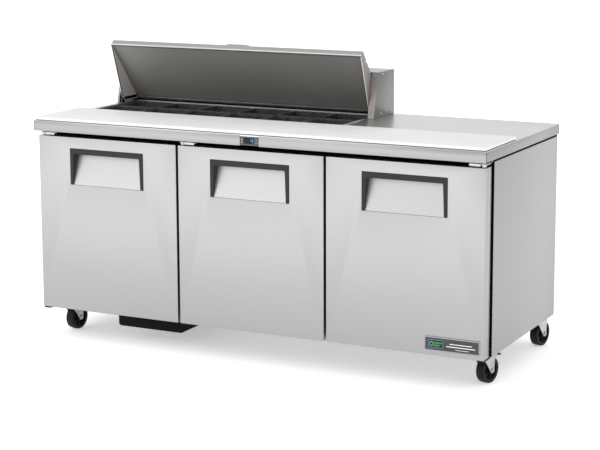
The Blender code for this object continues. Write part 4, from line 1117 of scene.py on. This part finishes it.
def make_castor(name):
    braked = name.startswith("front")
    place, trail, axle_z = castor_frame(name)
    body = f"castor_{name}"
    inner, outer = 0.0185, 0.0225
    crown_low, crown_high = 0.1025, 0.1098
    stem_foot, ring_foot = 0.108, 0.1112
    tyre_radius, tyre_half = 0.048, 0.016
    fork = Shape().slab((-outer, -0.019, crown_low), (outer, 0.05, crown_high), 0.0012)
    for hand in (-1, 1):
        x0, x1 = sorted((hand * inner, hand * outer))
        leg = [
            (-0.018, crown_high - 0.002), (-0.01, crown_low - 0.01)
        ] + arc((trail, axle_z), 0.011, 195, 345, 10)
        if braked:
            leg += [(0.05, 0.0855), (0.063, 0.0935), (0.063, crown_high - 0.002)]
        else:
            leg += [(0.05, crown_low - 0.01), (0.05, crown_high - 0.002)]
        fork.drawn(leg, "X", x0, x1)
    race = [(0, 0), (0.0225, 0), (0.024, 0.0015), (0.024, 0.0042), (0.019, 0.0088), (0, 0.0088)]
    fork.turned(race, (0, 0, crown_low - 0.004), "Z", 36)
    fork.soften(0.0007, 2, 40)
    fork.turned(rod(0.006, 0, 0.02), (0, 0, stem_foot), "Z", 20)
    for hand in (-1, 1):
        nut = Shape().screw((0, 0, 0), "Z", 0.0066, 0.005, hexagon=True)
        turn = placed((hand * outer, trail, axle_z), hand * math.pi / 2, "Y")
        fork.add(nut.mesh, turn)
    fork.turned(rod(0.004, -outer, outer), (0, trail, axle_z), "X", 20)
    fork.moved(place).piece(f"fork_{name}_steel", ZINC, body, "zinc", [f"fork_{name}"])
    plate = Shape().turned(
        [(0.0065, 0), (0.025, 0), (0.025, 0.0008), (0.015, 0.0036), (0.0065, 0.0036)], (0, 0, ring_foot), "Z",
        36,
    )
    plate.moved(place).piece(f"castor_{name}_mount_ring", ZINC, slot="zinc")

    tyre = Shape().turned(tyre_profile(tyre_radius, tyre_half), (0, trail, axle_z), "X", 64)
    tyre.moved(place).piece(f"wheel_{name}_tyre", TREAD, f"wheel_{name}", "black_rubber", [f"wheel_{name}"])
    hub = Shape().turned(hub_profile(tyre_half), (0, trail, axle_z), "X", 40)
    for hand in (-1, 1):
        for spoke in range(6):
            turn = placed((0, trail, axle_z), spoke * math.pi / 3, "X")
            x0, x1 = sorted((hand * 0.004, hand * 0.0125))
            hub.slab((x0, -0.0016, 0.0085), (x1, 0.0016, 0.033), 0.0006, 1, turn)
    hub.moved(place).piece(f"wheel_{name}_hub", BLACK, f"wheel_{name}", "black_rubber")
    if braked:
        make_pedal(name, place)


def tyre_profile(radius, half):
    """The tyre's section: a nearly flat tread with round shoulders, from its outside in."""
    shoulder = 0.0026
    edge = half - shoulder
    tread = [(radius - 0.0007 * (t / 4) ** 2, edge * t / 4) for t in range(-4, 5)]
    right = []
    for angle in (20, 45, 70, 90):
        turn = math.radians(angle)
        out = radius - 0.0007 - shoulder + shoulder * math.cos(turn)
        right.append((out, edge + shoulder * math.sin(turn)))
    right += [(radius - 0.0125, half), (radius - 0.013, half * 0.9)]
    left = [(r, -along) for r, along in reversed(right)]
    return tread + right + left


def hub_profile(half):
    """The hub's section: a boss round the axle, a thin web and the rim that the tyre sits on."""
    rim = half * 0.86
    right = [(0.0352, rim), (0.0335, rim), (0.031, 0.004), (0.0105, 0.0045), (0.0105, half), (0.0045, half)]
    return [(r, -along) for r, along in reversed(right)] + right


def make_pedal(name, place):
    y, z = 0.058, 0.1
    outline = arc((y, z), 0.0045, 70, 290, 10)
    outline += [(y + 0.032, z - 0.009), (y + 0.038, z - 0.008), (y + 0.034, z - 0.003)]
    pedal = Shape().drawn(outline, "X", -0.0172, 0.0172)
    pedal.carve(Shape().turned(rod(0.0024, -0.03, 0.03), (0, y, z), "X", 20))
    pedal.soften(0.0009, 3, 40)
    for rib in range(4):
        shift = 0.016 + rib * 0.005
        pedal.slab(
            (-0.013, y + shift, z - 0.0035 - rib * 0.0001),
            (0.013, y + shift + 0.0018, z + 0.0002 - rib * 0.0004), 0.0004,
        )
    pedal.moved(place).piece(
        f"brake_{name}_pedal", BLACK, f"brake_{name}", "black_plastic", [f"brake_pedal_{name}"]
    )


def make_side_bottom(side, outer, hand):
    """The hem that turns in along a side panel's lower edge."""
    low, high = span(f"side_panel_{side}")
    x0, x1 = sorted((outer + hand * 0.001, outer + hand * 0.02))
    hem = Shape().slab((x0, low.y + 0.004, low.z - 0.0008), (x1, high.y - 0.004, low.z + 0.0006), 0.0004)
    hem.piece(f"side_panel_{side}_hem", STEEL_LONG)


def make_front_frame():
    """A black breaker frame, its black also painted shade for the gaps round the doors, with a lighter bead
    round each opening.
    """
    finish_node("front_frame", GASKET_AND_SHADE_BLACK, 0.0012)
    low, high = span("front_frame")
    openings = (("left", 0.05, 0.608), ("middle", 0.632, 1.206), ("right", 1.23, 1.79))
    foot, sill, head, top = 0.1585, 0.1612, 0.7495, 0.7545
    wide, gap, lap = 0.004, 0.0005, 0.05
    for side, x0, x1 in openings:
        bead = Shape().slab((x0 - wide, high.y - 0.016, foot), (x1 + wide, high.y - 0.002, top), 0.001)
        bead.carve(Shape().slab((x0 - gap, low.y - lap, sill), (x1 + gap, high.y + lap, head)))
        bead.piece(f"opening_bead_{side}", GREY_PLASTIC, slot="black_plastic")


def make_shelf_posts():
    """Slotted shelf standards at each bay's corners and the clips that the shelves lie on."""
    posts = Shape()
    clips = Shape()
    clip_z = 0.4432
    wide, deep = 0.006, 0.0022
    post_foot, foot_on_housing, post_top = 0.1604, 0.4312, 0.733
    slot_rows, first_slot, slot_pitch, slot_height = 19, 0.185, 0.028, 0.009
    for x, hand in ((0.0413, 1), (0.62, -1), (0.62, 1), (1.218, -1), (1.218, 1), (1.7977, -1)):
        for y in (0.19, 0.565):
            foot = foot_on_housing if abs(x - 0.62) < 0.001 and y > 0.5 else post_foot
            x0, x1 = sorted((x, x + hand * deep))
            post = Shape().slab((x0, y - wide, foot), (x1, y + wide, post_top), 0.0005, 1)
            slots = Shape()
            for row in range(slot_rows):
                z = first_slot + row * slot_pitch
                if z > foot + 0.01:
                    slots.slab((x - 0.01, y - 0.0022, z), (x + 0.01, y + 0.0022, z + slot_height))
            post.carve(slots)
            posts.add(post.mesh)
            edge = x + hand * deep
            tip = edge + hand * 0.0105
            clip = [(edge, clip_z), (tip, clip_z + 0.0035), (tip, clip_z + 0.0063), (edge, clip_z + 0.0063)]
            clips.drawn(clip, "Y", -y - 0.003, -y + 0.003)
    posts.piece("shelf_standards", ZINC, slot="zinc")
    clips.piece("shelf_clips", STEEL_BAND_LIT, slot="zinc")


def make_back():
    """The back: its grille, screws, a blank rating plate and the supply cord's gland."""
    low, high = span("back_panel")
    make_grille()
    screws = Shape()
    for x in (low.x + 0.02, 0.25, 0.75, 0.92, 1.3, 1.6, high.x - 0.02):
        for z in (low.z + 0.02, high.z - 0.02):
            screws.screw((x, high.y, z), "BACK", 0.0046, 0.0024)
    for z in (0.3, 0.46, 0.62):
        for x in (low.x + 0.02, high.x - 0.02):
            screws.screw((x, high.y, z), "BACK", 0.0046, 0.0024)
    screws.piece("back_screws", ZINC, slot="zinc")
    plate = Shape().slab((0.93, high.y - 0.0004, 0.64), (1.04, high.y + 0.0006, 0.71), 0.0003)
    plate.piece("back_blank_plate", STEEL_BAND_LIT)
    rivets = Shape()
    for x in (0.935, 1.035):
        for z in (0.645, 0.705):
            rivets.turned(
                [(0, 0), (0.0022, 0), (0.0016, 0.001), (0, 0.0013)], (x, high.y + 0.0006, z), "BACK", 14
            )
    rivets.piece("back_plate_rivets", ZINC, slot="zinc")
    gland_low, gland_high = span("cord_gland")
    finish_node("cord_gland", BLACK)
    x, z = (gland_low.x + gland_high.x) / 2, (gland_low.z + gland_high.z) / 2
    ribs = Shape()
    for step in range(8):
        turn = placed((x, gland_high.y - 0.0016, z), step * math.tau / 8, "Y")
        ribs.slab((0.0088, -0.0012, -0.0016), (0.0102, 0.0012, 0.0016), 0.0003, 1, turn)
    ribs.piece("cord_gland_grips", BLACK, slot="black_plastic")


def make_grille():
    """A frame with sloping louvres in place of the plain grille plate."""
    low, high = span("rear_grille")
    border = 0.02
    frame_ring = Shape().slab(low, high, 0.0008)
    frame_ring.carve(
        Shape().slab(
            (low.x + border, low.y - 0.02, low.z + border), (high.x - border, high.y + 0.02, high.z - border)
        )
    )
    count = 13
    inside = high.z - low.z - 2 * border
    for row in range(count):
        z = low.z + border + inside * (row + 0.5) / count
        blade = [
            (low.y + 0.0002, z - 0.006), (high.y - 0.0002, z + 0.0034), (high.y - 0.0002, z + 0.0046),
            (low.y + 0.0002, z - 0.0048),
        ]
        frame_ring.drawn(blade, "X", low.x + border - 0.001, high.x - border + 0.001)
    for x in (low.x + 0.148, low.x + 0.292):
        frame_ring.slab(
            (x - 0.004, low.y + 0.0002, low.z + border - 0.001),
            (x + 0.004, low.y + 0.0016, high.z - border + 0.001),
        )
    for x in (low.x + 0.01, (low.x + high.x) / 2, high.x - 0.01):
        for z in (low.z + 0.01, high.z - 0.01):
            frame_ring.screw((x, high.y - 0.0002, z), "BACK", 0.004, 0.0002 + 0.0018)
    frame_ring.piece("rear_grille_louvres", STEEL_LONG, replaces=["rear_grille"])


def smooth_path(points, steps=6):
    """A smooth line through the points."""
    places = [Vector(point) for point in points]
    ends = [places[0] * 2 - places[1]] + places + [places[-1] * 2 - places[-2]]
    line = []
    for before, start, end, after in zip(ends, ends[1:], ends[2:], ends[3:]):
        for step in range(steps):
            t = step / steps
            line.append(
                0.5 * (
                    2 * start + (end - before) * t + (
                        2 * before - 5 * start + 4 * end - after
                    ) * t**2 + (3 * start - before - 3 * end + after) * t**3
                )
            )
    return line + [places[-1]]


def make_fan(node, radius):
    """A moulded fan: a ribbed hub with four swept blades, turning on an axis along Y."""
    low, high = span(node)
    centre = (low + high) / 2
    fan = Shape()
    hub = [
        (0.0045, -0.01), (0.016, -0.01), (0.018, -0.008), (0.018, 0.008), (0.0145, 0.01), (0.008, 0.01),
        (0.008, 0.009), (0.0045, 0.009),
    ]
    fan.turned(hub, centre, "Y", 36)
    rings, dark_strips = 8, 6
    for number in range(4):
        sheet = bmesh.new()
        grid = []
        for ring_number in range(rings + 1):
            share = ring_number / rings
            r = 0.0165 + (radius - 0.0004 - 0.0165) * share
            half_chord = 0.011 + 0.011 * math.sin(math.pi * min(1, share * 0.85 + 0.05))
            rise = 0.0068 - 0.0022 * share
            row = []
            for strip in range(dark_strips + 1):
                s = 2 * strip / dark_strips - 1
                angle = number * math.tau / 4 + s * half_chord / r + 0.25 * share
                row.append(
                    sheet.verts.new(
                        (r * math.cos(angle), s * rise + 0.0012 * (1 - s * s), r * math.sin(angle))
                    )
                )
            grid.append(row)
        for one, two in zip(grid, grid[1:]):
            for i in range(dark_strips):
                sheet.faces.new((one[i], one[i + 1], two[i + 1], two[i]))
        mesh = bpy.data.meshes.new("blade")
        sheet.to_mesh(mesh)
        sheet.free()
        solid = evaluated(mesh, [("SOLIDIFY", {"thickness": 0.0015, "offset": 0.0})])
        fan.add(solid, Matrix.Translation(centre))
    fan.piece(f"{node}_blades", CHARCOAL, node, "black_plastic", [node])


def make_coil(node, radius, inward, fin_pitch):
    """A finned block with tubes, inside a sheet casing, with a fan's shroud, motor and guard."""
    low, high = span(node)
    centre = (low + high) / 2
    mouth = high.y if inward < 0 else low.y
    deep = mouth + inward * 0.046
    fin_y = sorted((deep, (low.y if inward < 0 else high.y) - inward * 0.003))
    sheet = 0.0016
    margin = 0.013
    casing = Shape()
    for z0, z1 in mirrored(low.z, high.z, 0, sheet):
        casing.slab((low.x, low.y, z0), (high.x, high.y, z1), 0.0005, 1)
    for x0, x1 in mirrored(low.x + margin, high.x - margin, 0, sheet):
        casing.slab((x0, low.y + 0.001, low.z), (x1, high.y - 0.001, high.z), 0.0005, 1)
    y0, y1 = sorted((mouth, mouth + inward * sheet))
    face = Shape().slab((low.x, y0, low.z), (high.x, y1, high.z), 0.0005, 1)
    hole = Shape().turned(rod(radius + 0.005, -0.02, 0.02), (centre.x, mouth, centre.z), "Y", 64)
    face.carve(hole)
    slots = Shape()
    reach = (high.x - low.x) / 2 - radius - 0.04
    if reach > 0.05:
        for hand in (-1, 1):
            for column in range(10):
                x = centre.x + hand * (radius + 0.026 + column * reach / 10)
                slots.slab(
                    (x - 0.0035, mouth - 0.02, low.z + 0.018), (x + 0.0035, mouth + 0.02, high.z - 0.018)
                )
        face.carve(slots)
    casing.add(face.mesh)
    collar = rod(radius + 0.0064, 0, 0.04, radius + 0.005)
    casing.turned(collar, (centre.x, mouth, centre.z), "BACK" if inward > 0 else "Y", 64)
    casing.piece(f"{node}_casing", ALUMINIUM, slot="aluminium", replaces=[node])

    fins = Shape()
    count = int((high.x - low.x - 2 * margin - 0.006) / fin_pitch)
    start = centre.x - count * fin_pitch / 2
    for number in range(count + 1):
        x = start + number * fin_pitch
        fins.slab((x - 0.00025, fin_y[0], low.z + 0.003), (x + 0.00025, fin_y[1], high.z - 0.003))
    fins.piece(f"{node}_fins", FINS, slot="aluminium")

    tubes = Shape()
    rows = int((high.z - low.z - 0.02) / 0.025)
    pipe = 0.0042
    for y in (fin_y[0] + 0.012, fin_y[1] - 0.012):
        for row in range(rows + 1):
            z = low.z + 0.012 + row * (high.z - low.z - 0.024) / rows
            tubes.tube([(low.x + margin - 0.002, y, z), (high.x - margin + 0.002, y, z)], pipe)
            if row < rows:
                step = (high.z - low.z - 0.024) / rows
                hand = 1 if row % 2 else -1
                x = high.x - margin + 0.001 if hand > 0 else low.x + margin - 0.001
                depth = margin - 0.0055
                bend = [
                    (x + hand * depth * math.cos(a), y, z + step / 2 + step / 2 * math.sin(a))
                    for a in [math.radians(-90 + 180 * i / 10) for i in range(11)]
                ]
                tubes.tube(bend, pipe * 0.98)
    tubes.piece(f"{node}_tubes", COPPER, slot=None)

    motor = Shape()
    back = mouth + inward * 0.0445
    turned_to = "BACK" if inward < 0 else "Y"
    can = [
        (0, 0.0), (0.023, 0.0), (0.023, 0.0105), (0.02, 0.0125), (0.006, 0.013), (0.006, 0.0136), (0, 0.0136)
    ]
    motor.turned(can, (centre.x, back, centre.z), turned_to, 40)
    shaft = rod(0.0039, 0, 0.036)
    motor.turned(shaft, (centre.x, back, centre.z), turned_to, 20)
    for arm in range(3):
        turn = placed((centre.x, 0, centre.z), arm * math.tau / 3 + 0.3, "Y")
        a0, a1 = sorted((back, back - inward * 0.003))
        motor.slab((0.02, a0, -0.006), (radius + 0.006, a1, 0.006), 0.0006, 1, turn)
    motor.piece(f"{node}_fan_motor", CHARCOAL, slot="black_plastic")

    guard = Shape()
    wire = 0.0009
    y = mouth + inward * (wire + 0.0002)
    for step in range(1, 7):
        r = (radius + 0.004) * step / 6
        guard.tube(
            [(centre.x + a, y, centre.z + b) for a, b in arc((0, 0), r, 0, 350, 35)], wire, closed=True,
            resolution=1,
        )
    for spoke in range(4):
        a = spoke * math.pi / 4 + 0.4
        dx, dz = math.cos(a) * (radius + 0.01), math.sin(a) * (radius + 0.01)
        dy = inward * 0.0016
        guard.tube(
            [(centre.x - dx, y + dy, centre.z - dz), (centre.x + dx, y + dy, centre.z + dz)], wire,
            resolution=1,
        )
    guard.piece(f"{node}_fan_guard", ZINC, slot="zinc")


def make_compressor():
    low, high = span("compressor")
    x, y, floor = (low.x + high.x) / 2, (low.y + high.y) / 2, low.z
    can = Shape()
    profile = [
        (0, 0.19), (0.018, 0.1885), (0.034, 0.1845), (0.049, 0.176), (0.061, 0.163), (0.068, 0.148),
        (0.07, 0.132), (0.07, 0.103), (0.072, 0.102), (0.072, 0.098), (0.07, 0.097), (0.07, 0.042),
        (0.067, 0.03), (0.059, 0.022), (0.04, 0.018), (0, 0.018),
    ]
    can.turned(profile, (x, y, floor), "Z", 64)
    can.piece("compressor_shell", BLACK_STEEL, slot="black_steel", replaces=["compressor"])
    mount = Shape().drawn(
        round_box(x - 0.068, y - 0.068, x + 0.068, y + 0.068, 0.014), "Z", floor + 0.01, floor + 0.013
    )
    mount.slab((x - 0.03, y - 0.03, floor + 0.012), (x + 0.03, y + 0.03, floor + 0.022), 0.001)
    mount.soften(0.0006, 2, 40)
    mount.piece("compressor_base", BLACK_STEEL, slot="black_steel")
    rubber, bolts = Shape(), Shape()
    for a in (-0.054, 0.054):
        for b in (-0.054, 0.054):
            bush = [
                (0.003, 0), (0.0095, 0), (0.0095, 0.006), (0.0075, 0.0075), (0.0075, 0.0098), (0.003, 0.0098)
            ]
            rubber.turned(bush, (x + a, y + b, floor), "Z", 24)
            bolts.screw((x + a, y + b, floor + 0.013), "Z", 0.005, 0.0042, hexagon=True)
    rubber.piece("compressor_grommets", RUBBER, slot="black_rubber")
    bolts.piece("compressor_bolts", ZINC, slot="zinc")
    cover = Shape().slab(
        (x - 0.024, y - 0.083, floor + 0.056), (x + 0.024, y - 0.064, floor + 0.112), 0.004, 3
    )
    cover.slab((x - 0.01, y - 0.086, floor + 0.07), (x + 0.01, y - 0.082, floor + 0.09), 0.0015, 2)
    cover.piece("compressor_terminal_cover", CHARCOAL, slot="black_plastic")
    pipes = Shape()
    coil_low = span("condenser")[0]
    discharge = [
        (x + 0.06, y - 0.034, floor + 0.12), (x + 0.078, y - 0.04, floor + 0.124),
        (x + 0.086, y - 0.041, floor + 0.15), (x + 0.088, y - 0.041, floor + 0.175),
        (coil_low.x + 0.01, y - 0.041, floor + 0.196),
    ]
    suction = [
        (x - 0.052, y - 0.04, floor + 0.11), (x - 0.066, y - 0.056, floor + 0.114),
        (x - 0.07, y - 0.072, floor + 0.14), (x - 0.066, y - 0.082, floor + 0.185),
        (x - 0.04, y - 0.1, floor + 0.215), (x - 0.03, y - 0.119, floor + 0.22),
    ]
    pipes.tube(smooth_path(discharge), 0.0032, resolution=3)
    pipes.tube(smooth_path(suction), 0.0045, resolution=3)
    pipes.piece("compressor_pipes", COPPER, slot=None)


def make_machinery():
    make_compressor()
    condenser_fan, evaporator_fan = 0.082, 0.058
    make_coil("condenser", condenser_fan, -1, 0.0042)
    make_coil("evaporator", evaporator_fan, 1, 0.0062)
    make_fan("condenser_fan", condenser_fan)
    make_fan("evaporator_fan", evaporator_fan)
    finish_node("machine_housing", ALUMINIUM, 0.0015)
    finish_node("base_frame", BLACK_STEEL, 0.0009)
    make_tray()


def make_tray():
    low, high = span("condensate_tray")
    corner = 0.011
    outline = [(low.x, high.z)] + arc((low.x + corner, low.z + corner), corner, 180, 270, 6)
    outline += arc((high.x - corner, low.z + corner), corner, 270, 360, 6) + [(high.x, high.z)]
    tray = Shape().drawn(outline, "Y", -high.y, -low.y)
    wall = 0.0025
    inner = [(low.x + wall, high.z + 0.02)]
    inner += arc((low.x + corner, low.z + corner), corner - wall, 180, 270, 6)
    inner += arc(
        (high.x - corner, low.z + corner), corner - wall, 270, 360, 6
    ) + [(high.x - wall, high.z + 0.02)]
    tray.carve(Shape().drawn(inner, "Y", -high.y + wall, -low.y - wall))
    tray.soften(0.0009, 2, 40)
    tray.piece("condensate_tray_pan", TRAY_BLACK, slot="black_steel", replaces=["condensate_tray"])


# Studio


def make_studio():
    scene = bpy.context.scene
    world = bpy.data.worlds.new("studio")
    scene.world = world
    world.use_nodes = True
    background = world.node_tree.nodes["Background"]
    background.inputs["Color"].default_value = (1.0, 1.0, 1.0, 1)
    background.inputs["Strength"].default_value = 1.0

    mesh = bpy.data.meshes.new("studio_floor")
    made = bmesh.new()
    bmesh.ops.create_grid(made, x_segments=1, y_segments=1, size=60)
    made.to_mesh(mesh)
    made.free()
    floor = bpy.data.objects.new("studio_floor", mesh)
    scene.collection.objects.link(floor)
    paint = Finish("studio_floor").set(
        Base_Color=(0.9, 0.9, 0.9, 1), Roughness=0.9, Emission_Color=(1.0, 1.0, 1.0, 1)
    )
    # The floor is lit more strongly further out in front, so that the doors shade off towards their foot
    where = paint.node("ShaderNodeTexCoord").outputs["Object"]
    along = paint.node("ShaderNodeSeparateXYZ", {0: where}).outputs["Y"]
    glow = paint.spread(along, 0.42, 1.2, -1.2, -5.0)
    paint.tree.links.new(glow, paint.shader.inputs["Emission Strength"])
    mesh.materials.append(paint.material)

    soft_light("key", (-3.0, -4.5, 3.0), (0.0, 0.0, 0.5), (4.0, 3.0), 60)
    scene.view_settings.view_transform = "Standard"


def soft_light(name, place, target, size, power):
    light = bpy.data.lights.new(name, "AREA")
    light.shape = "RECTANGLE"
    light.size, light.size_y = size
    light.energy = power
    obj = bpy.data.objects.new(name, light)
    obj.location = place
    obj.rotation_euler = (Vector(target) - Vector(place)).to_track_quat("-Z", "Y").to_euler()
    bpy.context.scene.collection.objects.link(obj)


def make_camera():
    camera = bpy.data.cameras.new("camera")
    camera.lens = 102.17
    camera.sensor_width = 36
    camera.shift_x = -0.06
    camera.shift_y = -0.1
    obj = bpy.data.objects.new("camera", camera)
    obj.location = (2.9055, -5.6806, 1.7234)
    obj.rotation_euler = (math.radians(80.73), 0, math.radians(25.68))
    bpy.context.scene.collection.objects.link(obj)
    bpy.context.scene.camera = obj


make_camera()
make_studio()
make_worktop()
make_board()
make_display()
make_pans()
make_lid()
make_hood()
for door_side in SIDES:
    make_door(door_side)
    make_top_hinge(door_side)
make_badge()
make_cabinet()
make_shelves()
make_machinery()
for castor in ("front_left", "front_right", "rear_left", "rear_right"):
    make_castor(castor)

bpy.context.view_layer.update()
